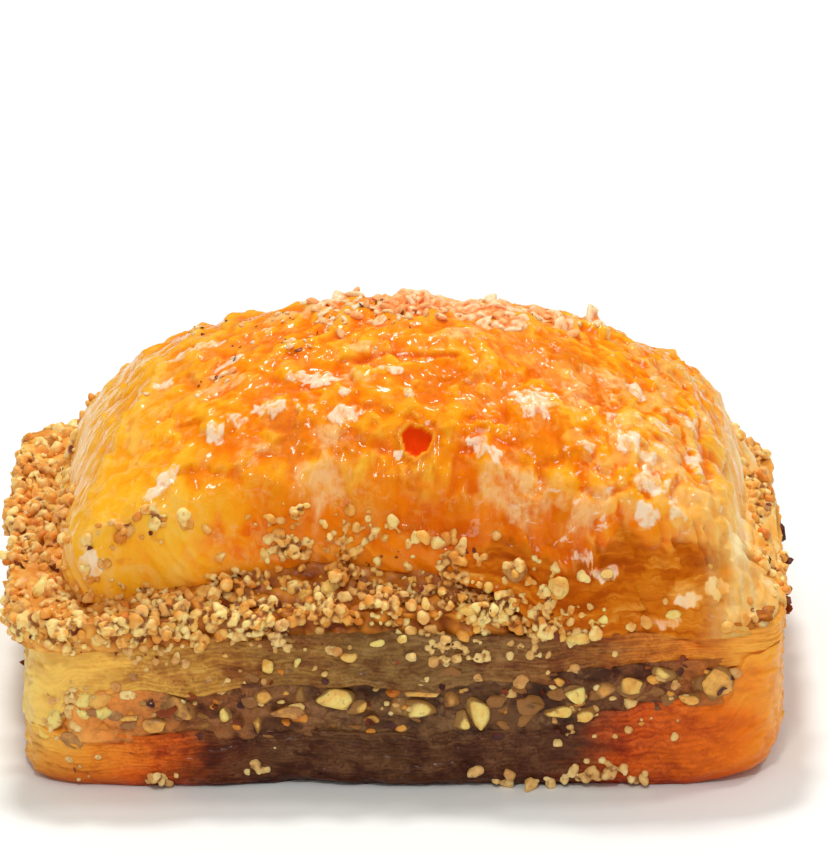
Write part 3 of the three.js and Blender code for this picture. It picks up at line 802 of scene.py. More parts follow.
u, v = crust_flat(turned, share_out, out_by * share_out**EDGE_PULL)
base_u, base_v = crust_flat(turned, share_out)
skin_height, skin = skin_relief(base_u, base_v)
under = crust_underside(base_u, base_v)
x, y = crust_place(u, v)
closed = blend(5, 10, x) * blend(-2, 5, -y)  # at the front right the cut edge reaches the middle stack
under = mix(under, upper_nuts_floor(x, y) - BED_OVERLAP, closed)
out_x, out_y, out_z = skin_facing(base_u, base_v)
lift = skin_height * share_up**3
x, y = x + out_x * lift, y + out_y * lift
top_z = dome_height(base_u, base_v) + WRINKLE_SHARE * wrinkles(base_u, base_v)
z = mix(under, top_z, share_up) + out_z * lift
z = np.where(drop > 1.01, under, z)  # the rings that close it below
x, y = held_back(x, y, z, CUT_PROUD + CUT_ROUGHNESS * rough(x / 1.2, z / 0.7 + y / 1.2, 50))
set_points(crust, in_metres(x, y, z))

# %% [markdown]
# ### What the crust's finish needs to know
#
# The browned skin reaches a little way down the cut edge, and all the way down where it is rolled
# over. A few spots at the front carry painted highlights, and the lower front edge on the left is darker
# amber: syrup has gathered there, with painted shade where it meets the crumbs.

# %% Numbers for the crust's finish
ragged = 0.14 + 0.1 * rough(rim_u / 0.8, rim_v / 0.8, 47) + 0.1 * rough(rim_u / 3, rim_v / 3, 48)
skin_down = mix(ragged, 2.0, rolled)  # how far down the cut edge the browned skin reaches
skinned = 1 - on_cut * (1 - rolled)
# Painted highlights on the front, put into the pale number that the finish paints near-white.
front_glints = patches(x, z, GLINT_SPOTS, 85, 0.3) * (y < 0)
# Darker amber along the lower front edge on the left: syrup gathered there, and painted shade where it meets
# the crumbs.
wet_shaded_front = blend(12.9, 14.4, -base_v + 0.5 * rough(base_u / 1.5, base_v / 1.5, 49)) * blend(-12, -6, base_u)
skin["hole"] = skin["hole"] * (1 - on_cut)
skin["pale"] = np.maximum(skin["pale"] * (1 - on_cut), front_glints)
skin["peach"] = skin["peach"] * mix(0.5 * skinned, 1, 1 - on_cut)
skin["soaked"] = np.maximum(skin["soaked"], wet_shaded_front)
skin["down"] = skin["down"] + np.maximum(0, crust_roof(base_u, base_v) - z) * on_cut
# relief is how far a point stands out of its surroundings; the finish darkens the low places into painted
# shade.
hand_over(
    crust, cut=blend(-0.04, 0.08, np.clip(drop, 0, 1) - skin_down), crest=edge_crest, tone=edge_tone, **skin,
    relief=0.5 + 2.6 * stand_out(crust, 40), edge=blend(0.86, 1.0, share_out),
)

# %% [markdown]
# ## Chopped nuts, crumbs and skins
#
# A walnut breaks into lumps with flat, waxy faces and keeps scraps of its brown skin. A few lumps are
# made one by one: a rough ball is cut by planes, which leaves the flat broken faces. Skins are thin, so a
# ball is squashed and bent. Each is then copied hundreds of times, turned and sized at random, and
# all copies of a kind are joined into one piece.

# %% Shapes to copy
KNOBS = 0.42  # how far the ball's knobs stand out, as a share of its radius


def broken_lump(seed, cuts, fineness=2, softness=0):
    """A ball of size 1 that planes have cut: its points and its triangles."""
    chance = np.random.default_rng(seed)
    deselect()
    bpy.ops.mesh.primitive_ico_sphere_add(subdivisions=fineness, radius=0.5)
    lump = bpy.context.object
    points = points_of(lump)
    knobs = 1 + KNOBS * swing(4 * points[:, 0] + seed, 4 * points[:, 1] + 5 * points[:, 2], seed)
    set_points(lump, points * knobs[:, None])
    bpy.ops.object.mode_set(mode="EDIT")
    for _ in range(cuts):
        facing = chance.normal(size=3)
        facing /= np.linalg.norm(facing)
        bpy.ops.mesh.select_all(action="SELECT")
        bpy.ops.mesh.bisect(
            plane_co=facing * chance.uniform(0.24, 0.42), plane_no=facing, use_fill=True, clear_outer=True)
    bpy.ops.mesh.select_all(action="SELECT")
    bpy.ops.mesh.remove_doubles(threshold=0.03)
    bpy.ops.mesh.quads_convert_to_tris()
    bpy.ops.mesh.vertices_smooth(factor=0.5, repeat=softness)
    bpy.ops.mesh.normals_make_consistent(inside=False)
    bpy.ops.object.mode_set(mode="OBJECT")
    points = points_of(lump)
    points = points / np.ptp(points, axis=0).max()
    faces = np.array([list(face.vertices) for face in lump.data.polygons if len(face.vertices) == 3])
    bpy.data.objects.remove(lump)
    return points - 0.5 * (points.min(0) + points.max(0)), faces


def skin_scrap(seed):
    """A thin bent flake of size 1."""
    chance = np.random.default_rng(seed)
    points, faces = broken_lump(seed, 4)
    points = points * [1, chance.uniform(0.6, 0.9), 0.16]
    points[:, 2] += 0.6 * points[:, 0] ** 2 - 0.3 * points[:, 0] * points[:, 1]
    return points, faces


def flake(seed):
    """A flat broken piece of size 1, like a rolled oat."""
    points, faces = broken_lump(seed, 4, softness=2)
    return points * [1, 0.85, 0.4], faces


crumb_shapes = [broken_lump(200 + n, 5) for n in range(9)]
chunk_shapes = [broken_lump(300 + n, 4, fineness=3, softness=3) for n in range(7)]
skin_shapes = [skin_scrap(400 + n) for n in range(4)]
flake_shapes = [flake(500 + n) for n in range(5)]
print("faces of a crumb:", [len(faces) for _, faces in crumb_shapes])
print("faces of a chunk:", [len(faces) for _, faces in chunk_shapes])

# %% [markdown]
# ### Where they land
#
# A crumb is dropped or thrown at the block from a given side until it meets what is there, and sinks
# in by a share of its size. Heaps are strewn in rounds, so that later crumbs lie on earlier ones.

# %% Landing and joining
class Ground:
    """Everything that a crumb can land on."""

    def __init__(self, *pieces):
        self.trees = []
        for piece in pieces:
            self.add(points_of(piece), [tuple(face.vertices) for face in piece.data.polygons])

    def add(self, points, faces):
        corners = [tuple(int(i) for i in face) for face in faces]
        self.trees.append(BVHTree.FromPolygons([tuple(point) for point in points], corners))

    def meet(self, start, direction):
        """The first place that a ray from start meets, and the way that place faces, or None."""
        best = None
        for tree in self.trees:
            place, facing, _, away = tree.ray_cast(Vector(start), Vector(direction))
            if place is not None and (best is None or away < best[2]):
                best = (place, facing, away)
        return best


def cut_flush(points, proud):
    """Pulls back what stands out of the cut faces by more than it may, in points given in metres."""
    x, y, z = in_block(points)
    return in_metres(*held_back(x, y, z, proud), z)


def proud_of_cut(piece):
    """How far each point of a piece stands out of the cut faces, in millimetres."""
    x, y, z = in_block(points_of(piece))
    return np.hypot(x, y) - np.hypot(*outline_point(np.arctan2(y, x), 0, z))


def settle(piece):
    """Presses what hangs below the table flat against it."""
    points = points_of(piece)
    points[:, 2] = np.maximum(points[:, 2], 0)
    set_points(piece, points)


class Strewn:
    """Copies of a few shapes, gathered until they are joined into one piece."""

    def __init__(self, shapes, seed):
        self.shapes, self.chance = shapes, np.random.default_rng(seed)
        self.points, self.faces, self.tones, self.count, self.copies = [], [], [], 0, 0

    def spin(self, facing, flat):
        """A random turn. A flat copy lies nearly level on the place that it lands on."""
        turn = np.linalg.qr(self.chance.normal(size=(3, 3)))[0]
        if np.linalg.det(turn) < 0:
            turn[:, 0] *= -1
        if not flat:
            return turn
        up = np.array(facing) + 0.35 * self.chance.normal(size=3)
        up /= np.linalg.norm(up)
        side = np.cross(up, turn[:, 0])
        side /= np.linalg.norm(side)
        return np.stack([side, np.cross(up, side), up], 1)

    def add(self, place, facing, size, sink, flat=False, tone=None, flush=None, wide=1.0):
        """Adds one copy and gives back its points and triangles.

        The place is in metres, the size in millimetres. Sink is the share of the size that goes in, and
        flush is how far the copy may stand out of the cut faces.
        """
        points, faces = self.shapes[self.chance.integers(len(self.shapes))]
        spin = self.spin(facing, flat)
        stretch = self.chance.uniform(0.75, 1.2, 3)
        turned = (points * stretch) @ spin.T * size * MM * [math.sqrt(wide), 1, 1 / math.sqrt(wide)]
        reach = -(turned @ np.array(facing)).min()
        centre = np.array(place) + np.array(facing) * (reach - sink * size * MM)
        turned = turned + centre
        if flush is not None:
            turned = cut_flush(turned, flush)
        self.points.append(turned)
        self.faces.append(faces + self.count)
        self.tones.append(np.full(len(points), self.chance.random() if tone is None else tone))
        self.count += len(points)
        self.copies += 1
        return self.points[-1], faces

    def join(self, name):
        """Makes one piece of all copies."""
        mesh = bpy.data.meshes.new(name)
        points, faces = np.concatenate(self.points), np.concatenate(self.faces)
        mesh.from_pydata(points.tolist(), [], faces.tolist())
        piece = bpy.data.objects.new(name, mesh)
        bpy.context.scene.collection.objects.link(piece)
        note(piece, "tone", np.concatenate(self.tones))
        deselect()
        piece.select_set(True)
        bpy.context.view_layer.objects.active = piece
        settle(piece)
        bpy.ops.object.shade_smooth_by_angle(angle=math.radians(75))
        print(f"{name}: {self.copies} copies")
        report(piece)
        return piece

    def join_moist(self, name, cell):
        """Joins, then melts the copies into one crumbly skin, with cells of this size in millimetres."""
        piece = self.join(name)
        points, tones = np.concatenate(self.points), np.concatenate(self.tones)
        nearest = KDTree(len(points))
        for n, point in enumerate(points):
            nearest.insert(point, n)
        nearest.balance()
        piece.data.remesh_voxel_size = cell * MM
        bpy.ops.object.voxel_remesh()
        bpy.ops.object.mode_set(mode="EDIT")
        bpy.ops.mesh.select_all(action="SELECT")
        bpy.ops.mesh.vertices_smooth(factor=0.5, repeat=1)
        bpy.ops.transform.shrink_fatten(value=0.03 * MM)
        bpy.ops.object.mode_set(mode="OBJECT")
        settle(piece)
        tones = [tones[nearest.find(point)[1]] for point in points_of(piece)]
        # relief is low in the gaps between the melted crumbs, where the finish paints shade in a syrup
        # colour.
        hand_over(piece, tone=tones, relief=0.5 + 2.5 * stand_out(piece, 12))
        return piece


def crumb_size(chance, small, large):
    """Mostly small, now and then large."""
    return mix(small, large, chance.random() ** 2)


# %% [markdown]
# ### The lower layer
#
# The seam is packed with chopped nuts of all sizes, seen cut or broken at the face, with skins and
# grit between them.

# %% Nuts in the lower seam
chance = np.random.default_rng(5)
ground = Ground(lower_bed, bottom_sheets, middle_sheets)
lower_chunks, lower_crumbs = Strewn(chunk_shapes, 11), Strewn(crumb_shapes, 12)
lower_toasted, lower_skins = Strewn(crumb_shapes, 13), Strewn(skin_shapes, 14)
CHUNKS_AROUND, SMALL_AROUND = 110, 620
RAY_START = 4.0  # rays start this far outside the block


def seam_ray(turn, low, high, share):
    """A ray from outside towards the block's upright middle line, at a share of the seam's height."""
    x, y = (float(c) for c in outline_point(np.array(float(even_angle(turn))), RAY_START, SEAM_LEVEL))
    inside_x, inside_y = 0.85 * x, 0.85 * y
    z = float(mix(low(inside_x, inside_y), high(inside_x, inside_y), share))
    middle_x = np.clip(x, -WIDTH / 2 + DEPTH / 2, WIDTH / 2 - DEPTH / 2) * 0.9
    towards = np.array([middle_x - x, -y, 0.0])
    return in_metres(x, y, z), towards / np.linalg.norm(towards)


def at_closed_corner(place):
    """Where the sheets slump over the ends of the lower seam."""
    return place[1] < -8 * MM and (place[0] < -21.6 * MM or place[0] > 20.6 * MM)


def strew_lower(start, towards):
    place, facing, _ = ground.meet(start, towards)
    if at_closed_corner(place):
        return
    kind = chance.random()
    if kind < 0.3:
        lower_crumbs.add(place, facing, crumb_size(chance, 0.35, 1.0), sink=0.6, flush=0.15, wide=1.4)
    elif kind < 0.55:
        lower_toasted.add(place, facing, crumb_size(chance, 0.4, 1.1), sink=0.65, flush=0.12, wide=1.4)
    elif kind < 0.85:
        lower_chunks.add(place, facing, crumb_size(chance, 0.7, 1.8), sink=0.75, flush=0.1, wide=1.5,
                         tone=chance.uniform(0.7, 1.0))
    else:
        lower_skins.add(place, facing, crumb_size(chance, 0.5, 1.4), sink=0.2, flat=True)


# Chopped nuts that show at the front: across, height, size, how much wider than high, and tone, from
# 0 for pale to 1 for brown.
FRONT_NUTS = [
    (-4.3, 6.0, 2.3, 1.5, 0.2), (-11.2, 5.0, 1.3, 1.0, 0.15), (-9.2, 4.3, 1.2, 0.8, 0.3),
    (-7.1, 5.3, 2.0, 1.4, 0.8), (-14.2, 5.3, 2.4, 1.8, 0.7), (0.0, 5.5, 1.9, 1.3, 0.2),
    (-20.1, 5.9, 1.9, 1.0, 0.05), (-19.0, 6.0, 1.6, 1.2, 0.5), (-21.2, 4.5, 1.4, 1.0, 0.1),
    (-15.6, 4.3, 1.3, 1.3, 0.6), (-11.0, 6.5, 0.9, 1.0, 0.2), (1.1, 6.7, 2.1, 2.0, 0.45),
    (0.8, 5.4, 1.8, 1.8, 0.1), (4.7, 5.3, 1.9, 0.7, 0.2), (9.4, 5.5, 1.8, 1.6, 0.25),
    (16.3, 7.4, 1.9, 1.2, 0.2), (19.6, 7.1, 2.8, 1.4, 0.55), (12.4, 6.6, 1.5, 1.4, 0.75),
    (7.5, 5.0, 1.6, 1.2, 0.6), (14.2, 7.0, 1.6, 1.4, 0.5), (-17.2, 4.9, 1.2, 1.2, 0.5),
    (-12.6, 4.2, 1.1, 1.4, 0.6), (2.8, 6.0, 1.3, 1.0, 0.7), (-2.0, 4.7, 1.2, 1.5, 0.6),
    (-20.4, 5.0, 2.2, 1.3, 0.05), (-21.6, 4.2, 1.5, 1.0, 0.1), (-18.6, 5.2, 1.7, 1.2, 0.2),
    (-6.4, 6.2, 1.4, 1.0, 0.1), (3.6, 4.6, 1.7, 1.0, 0.1), (-13.2, 6.3, 1.3, 1.2, 0.3),
    (10.9, 6.6, 1.3, 1.2, 0.1), (-3.2, 5.2, 1.5, 1.2, 0.35), (11.2, 5.2, 1.4, 1.3, 0.35),
    (17.9, 6.1, 1.3, 1.3, 0.45), (6.3, 4.3, 1.2, 1.6, 0.8), (-8.8, 6.1, 1.1, 1.2, 0.5),
]
# Scraps of dark skin there: across, height and size.
DARK_SCRAPS = [
    (17.3, 8.0, 1.5), (19.0, 8.2, 1.4), (7.5, 6.5, 1.5), (9.6, 3.9, 1.3), (-4.9, 7.2, 1.2), (2.4, 7.0, 1.4),
    (-10.2, 5.6, 1.2), (-15.8, 5.9, 1.3), (-0.9, 4.2, 1.4), (5.8, 3.6, 1.6), (-12.8, 3.6, 1.2),
    (13.2, 7.9, 1.5),
]


FAR = -30.0  # rays at the front face start this far out


def from_front(across, height):
    """A level ray at the front face."""
    return np.array([across, FAR, height]) * MM, np.array([0.0, 1.0, 0.0])


for across, height, size, wide, tone in FRONT_NUTS:
    place, facing, _ = ground.meet(*from_front(across, height))
    lower_chunks.add(place, facing, size, sink=0.6, flush=chance.uniform(0.3, 0.55), wide=wide, tone=tone)
for across, height, size in DARK_SCRAPS:
    place, facing, _ = ground.meet(*from_front(across, height))
    lower_skins.add(place, facing, 0.55 * size, sink=0.1, flat=True, tone=0.95)
for n in range(CHUNKS_AROUND):
    size = crumb_size(chance, 1.2, 3.2)
    turn = (n + chance.random()) / CHUNKS_AROUND
    start, towards = seam_ray(turn, bottom_stack_top, lower_nuts_top, chance.uniform(0.1, 1.0))
    if towards[1] > 0.4:
        continue  # the front has its own
    place, facing, _ = ground.meet(start, towards)
    lower_chunks.add(place, facing, size, sink=0.7, flush=chance.uniform(-0.05, 0.3))
ground.add(np.concatenate(lower_chunks.points), np.concatenate(lower_chunks.faces))
for _ in range(SMALL_AROUND):
    strew_lower(*seam_ray(chance.random(), bottom_stack_top, lower_nuts_top, chance.normal(0.5, 0.35)))
lower_pieces = [
    lower_chunks.join("lower_chunks"),
    lower_crumbs.join_moist("lower_crumbs", 0.12),
    lower_toasted.join_moist("lower_toasted_crumbs", 0.12),
    lower_skins.join("lower_skins"),
]
# relief is low where a chunk sits deep in the cut face, where the finish paints shade in a syrup colour; at
# the left there is none.
unshaded_left = blend(15, 19, -points_of(lower_pieces[0])[:, 0] / MM)  # no syrup has gathered at the left
note(lower_pieces[0], "relief", np.clip(0.2 + 1.6 * proud_of_cut(lower_pieces[0]) + unshaded_left, 0, 1))

# %% [markdown]
# ### The upper layer
#
# Here the nuts are ground finer. They fill the shelf beside the crust, most of all on the left, and
# spill over its side.

# %% Nuts on the upper shelf
ground = Ground(upper_bed, crust, middle_sheets)
upper_chunks, upper_crumbs = Strewn(chunk_shapes, 21), Strewn(crumb_shapes, 22)
upper_toasted, upper_skins = Strewn(crumb_shapes, 23), Strewn(skin_shapes, 24)
DOWN = np.array([0.0, 0.0, -1.0])
CRUMB_SINK = 0.42  # crumbs sink in by this share of their size
SHELF_CHUNKS, HEAP_ROUNDS, CRUMBS_A_ROUND = 60, 3, 1700
BAND_NUT_SCALE = 0.85
DROP = 6  # crumbs fall on the shelf from this far above it


def shelf_ray(turn, share):
    """A ray that falls on the shelf at a share of the way out from the crust's edge."""
    x, y, z = (float(c) for c in shelf_point(even_angle(np.array(turn)), share))
    return in_metres(x, y, z + DROP), DOWN


def crowded(turn):
    """How much of the shelf is covered at this place: all of it on the left, less on the right."""
    x, y = outline_point(even_angle(np.array(turn)), 0, SHELF_LEVEL)
    return float(mix(1.0, mix(0.45, 0.07, blend(6, 10, -y)), blend(7, 14, x)))


def in_clump(place):
    """Crumbs stick together in clumps, and leave bare, wet places between them."""
    x, y, z = (c / MM for c in place)
    left, front = x < -15, y < -9
    covered = rough(x / 2.6 + z / 3, y / 2.6 + z / 1.7, 58) + 0.3 * left - 0.14 * front * (x > -15)
    return chance.random() < 0.12 + 0.88 * float(blend(-0.1, 0.16, covered))


def strew_upper(start, towards, small, large):
    met = ground.meet(start, towards)
    if met is None or not in_clump(met[0]):
        return
    kind = chance.random()
    if kind < 0.74:
        upper_crumbs.add(met[0], met[1], crumb_size(chance, small, large), sink=CRUMB_SINK)
    elif kind < 0.95:
        upper_toasted.add(met[0], met[1], crumb_size(chance, small, large), sink=CRUMB_SINK)
    else:
        upper_skins.add(met[0], met[1], crumb_size(chance, 0.3, 0.9), sink=0.05, flat=True)


def low_side(x, y):
    return upper_nuts_floor(x, y) + across_piece(NUT_SHELF, x)


# Larger nuts that show among the crumbs at the front, as in the lower layer.
BAND_NUTS = [
    (3.5, 13.2, 1.9, 1.2, 0.1), (4.2, 11.8, 1.8, 2.0, 0.35), (8.4, 10.4, 1.6, 1.3, 0.2),
    (10.8, 10.4, 1.5, 1.3, 0.2), (16.8, 11.8, 1.2, 1.4, 0.15), (12.4, 11.6, 0.9, 1.0, 0.1),
    (-4.7, 12.6, 1.4, 1.0, 0.1), (-1.6, 9.9, 1.1, 1.5, 0.15), (-0.1, 10.1, 0.9, 1.2, 0.2),
    (-3.4, 9.0, 1.1, 1.1, 0.4), (-6.7, 8.6, 0.9, 1.0, 0.1), (-8.5, 8.3, 1.2, 1.2, 0.3),
]
for _ in range(SHELF_CHUNKS):
    turn = chance.random()
    if chance.random() > crowded(turn):
        continue
    place, facing, _ = ground.meet(*shelf_ray(turn, chance.uniform(0.1, 0.9)))
    upper_chunks.add(place, facing, crumb_size(chance, 0.9, 1.8), sink=0.55)
for _ in range(HEAP_ROUNDS):
    for _ in range(CRUMBS_A_ROUND):
        turn = chance.random()
        if chance.random() > crowded(turn):
            continue
        if chance.random() < 0.6:
            strew_upper(*shelf_ray(turn, chance.uniform(-0.1, 1.0)), 0.35, 1.0)
        else:
            strew_upper(*seam_ray(turn, upper_nuts_floor, low_side, chance.uniform(0, 1)), 0.35, 0.95)
    for strewn in (upper_chunks, upper_crumbs, upper_toasted):
        ground.add(np.concatenate(strewn.points), np.concatenate(strewn.faces))
for across, height, size, wide, tone in BAND_NUTS:
    place, facing, _ = ground.meet(*from_front(across, height))
    upper_chunks.add(place, facing, BAND_NUT_SCALE * size, sink=0.5, wide=wide, tone=tone)
upper_pieces = [
    upper_chunks.join_moist("upper_chunks", 0.14),
    upper_crumbs.join_moist("upper_crumbs", 0.14),
    upper_toasted.join_moist("upper_toasted_crumbs", 0.13),
    upper_skins.join("upper_skins"),
]

# %% [markdown]
# ### Strewn over the crust, the faces and the foot
#
# The last nuts were sprinkled on by hand: a drift along the ridge, a few on the left shoulder, and
# many that slid down to the front edge. The knife left some on the cut faces and at the foot.

# %% Sprinkled nuts
ground = Ground(crust, upper_bed, middle_sheets, bottom_sheets)
top_crumbs, foot_crumbs, face_crumbs = (Strewn(crumb_shapes, seed) for seed in (31, 33, 34))
top_skins, ridge_crumbs = Strewn(skin_shapes, 32), Strewn(flake_shapes, 35)

SKY = 40.0  # sprinkled crumbs fall from this height
FALL = 0.35  # a thrown crumb drops this much for each step forward
FROM_FRONT = np.array([0.0, 1.0, -FALL]) / math.hypot(1, FALL)
FLIGHT = 14  # how far a crumb flies before it meets the front
CLUSTER_EXTRA = 3.5  # how many crumbs a cluster has beside its first, on average


def thrown_from(across, height):
    """Where a crumb starts that is to meet the front at this place."""
    return np.array([across, FAR, height + FLIGHT * FALL]) * MM


def cluster(strewn, start, towards, spread, small, large, skins, sink=CRUMB_SINK, piled=True, flat=False):
    """A few crumbs that stick together, each aimed a little beside the first."""
    for _ in range(1 + int(chance.exponential(CLUSTER_EXTRA))):
        aside, on = chance.normal(0, spread, 2)
        beside = [aside, on, 0] if towards is DOWN else [aside, 0, on]
        met = ground.meet(start + np.array(beside) * MM, towards)
        if met is None:
            continue
        place, facing, _ = met
        if chance.random() < skins:
            size = crumb_size(chance, 0.2, 0.6)
            top_skins.add(place, facing, size, sink=0.05, flat=True, tone=0.5 * chance.random())
        else:
            copy = strewn.add(place, facing, crumb_size(chance, small, large), sink=sink, flat=flat)
            if piled:
                ground.add(*copy)


def in_the_middle(ends):
    """A place between two ends, mostly near the middle."""
    return mix(*ends, 0.5 + 0.25 * np.clip(chance.normal(), -2, 2))


def sprinkle(strewn, count, across, along, small, large, skins, sink):
    """Clusters that fall on a patch of the crust, given in its flat layout, thickest in the middle."""
    for _ in range(count):
        u, v = in_the_middle(across), in_the_middle(along)
        x, y = crust_place(np.array(u), np.array(v))
        start = in_metres(float(x), float(y), SKY)
        cluster(strewn, start, DOWN, 0.7, small, large, skins, sink, piled=False, flat=True)


def throw(strewn, count, across, heights, small, large, skins=0.1, spread=0.45):
    """Clusters thrown at the front, between two sides and two heights."""
    for _ in range(count):
        start = thrown_from(mix(*across, chance.random()), mix(*heights, chance.random()))
        cluster(strewn, start, FROM_FRONT, spread, small, large, skins)


def clump(strewn, across, height, wide, high, count, small, large):
    """Crumbs stuck together in one clump at the front."""
    for _ in range(count):
        start = thrown_from(chance.normal(across, wide / 2), chance.normal(height, high / 2))
        met = ground.meet(start, FROM_FRONT)
        if met is not None:
            ground.add(*strewn.add(met[0], met[1], crumb_size(chance, small, large), sink=CRUMB_SINK))


# Clumps of crumbs at the front: across, height, the clump's own width and height, how many crumbs.
CLUMPS = [
    (-14.8, 12.7, 1.9, 1.1, 30), (-7.1, 16.0, 1.9, 1.2, 28), (-10.6, 13.9, 1.6, 1.1, 24),
    (-12.1, 11.9, 1.1, 0.8, 12), (-0.9, 12.9, 2.2, 1.2, 36), (2.6, 13.6, 1.4, 0.7, 14),
    (-3.8, 14.7, 1.6, 1.0, 18), (-18.6, 11.2, 1.6, 1.0, 20), (-5.2, 12.4, 1.8, 0.8, 22),
    (5.6, 12.3, 1.6, 0.8, 18), (-9.0, 11.4, 1.6, 0.7, 16),
]
FOOT_CLUMPS = [
    (4.4, 1.2, 0.3, 0.2, 3), (6.4, 0.5, 1.2, 0.4, 7), (8.4, 0.4, 1.2, 0.4, 7), (10.4, 0.8, 1.5, 0.6, 11),
    (12.5, 1.3, 1.5, 0.7, 13), (14.3, 0.8, 0.9, 0.5, 6),
]
FACE_CLUMPS = [
    (-20.3, 6.0, 1.6, 0.7, 28), (-21.7, 4.3, 0.8, 0.6, 9), (-15.0, 0.7, 1.3, 0.5, 12),
    (-9.2, 1.5, 0.8, 0.3, 5), (-10.1, 10.6, 1.0, 0.6, 10), (-4.6, 9.4, 0.7, 0.5, 5),
    (8.4, 10.6, 1.0, 0.7, 8), (10.8, 10.6, 1.0, 0.7, 8),
]
CRUST_CLUMP_SCALE, CRUST_CLUMP_CROWD = 0.8, 1.5  # those on the crust are this much smaller and fuller
# Clusters thrown at the crust's front: how many, between which sides and heights, and the crumbs' sizes.
THROWN = [
    (46, (-18, 7), (11.6, 14.2), 0.3, 0.95), (50, (-21.5, -8), (9.6, 13.2), 0.3, 0.95),
    (26, (-10, 4), (13.8, 16.0), 0.3, 0.9), (24, (2, 12), (11.2, 13.2), 0.25, 0.7),
    (8, (-9, 1), (17, 18.6), 0.25, 0.7),
]

sprinkle(ridge_crumbs, 110, (-8, 12), (0.5, 5), 0.5, 1.5, skins=0.08, sink=0.25)
sprinkle(ridge_crumbs, 26, (-16, 2), (-6, 5), 0.3, 0.9, skins=0.25, sink=0.2)
for across, height, wide, high, count in CLUMPS:
    clump(top_crumbs, across, height, CRUST_CLUMP_SCALE * wide, CRUST_CLUMP_SCALE * high,
          round(CRUST_CLUMP_CROWD * count), 0.35, 0.9)
for clump_shape in FACE_CLUMPS:
    clump(face_crumbs, *clump_shape, 0.35, 0.85)
for thrown in THROWN:
    throw(top_crumbs, *thrown)
throw(face_crumbs, 22, (-17, 14), (8.8, 11.2), 0.3, 0.85, spread=0.6)
throw(face_crumbs, 15, (-21, 21), (0.8, 10), 0.25, 0.7, spread=0.9)
for clump_shape in FOOT_CLUMPS:
    clump(foot_crumbs, *clump_shape, 0.45, 1.0)
top_pieces = [
    top_crumbs.join_moist("sprinkled_crumbs", 0.12),
    ridge_crumbs.join_moist("ridge_crumbs", 0.12),
    top_skins.join("sprinkled_skins"),
]
face_piece = face_crumbs.join_moist("face_crumbs", 0.12)
foot_piece = foot_crumbs.join_moist("foot_crumbs", 0.12)

# %% [markdown]
# ## Finishes
#
# A material is written as sums. A thin wrapper around a shader socket lets Python's own operators
# add the maths nodes, so that a line such as `1 - mask * 0.5` reads like what it does.

# %% A wrapper for shader sockets
class Value:
    """A number or colour that comes out of a node."""

    def __init__(self, finish, socket):
        self.finish, self.socket = finish, socket

    def maths(self, operation, a, b):
        return self.finish.node("ShaderNodeMath", {"operation": operation}, {0: a, 1: b})

    def __add__(self, other):
        return self.maths("ADD", self, other)

    def __sub__(self, other):
        return self.maths("SUBTRACT", self, other)

    def __rsub__(self, other):
        return self.maths("SUBTRACT", other, self)

    def __mul__(self, other):
        return self.maths("MULTIPLY", self, other)

    __radd__, __rmul__ = __add__, __mul__

    def over(self, low, high):
        """0 below low, 1 above high, smooth between."""
        return self.finish.node(
            "ShaderNodeMapRange",
            {"interpolation_type": "SMOOTHSTEP"},
            {"Value": self, "From Min": low, "From Max": high},
        )


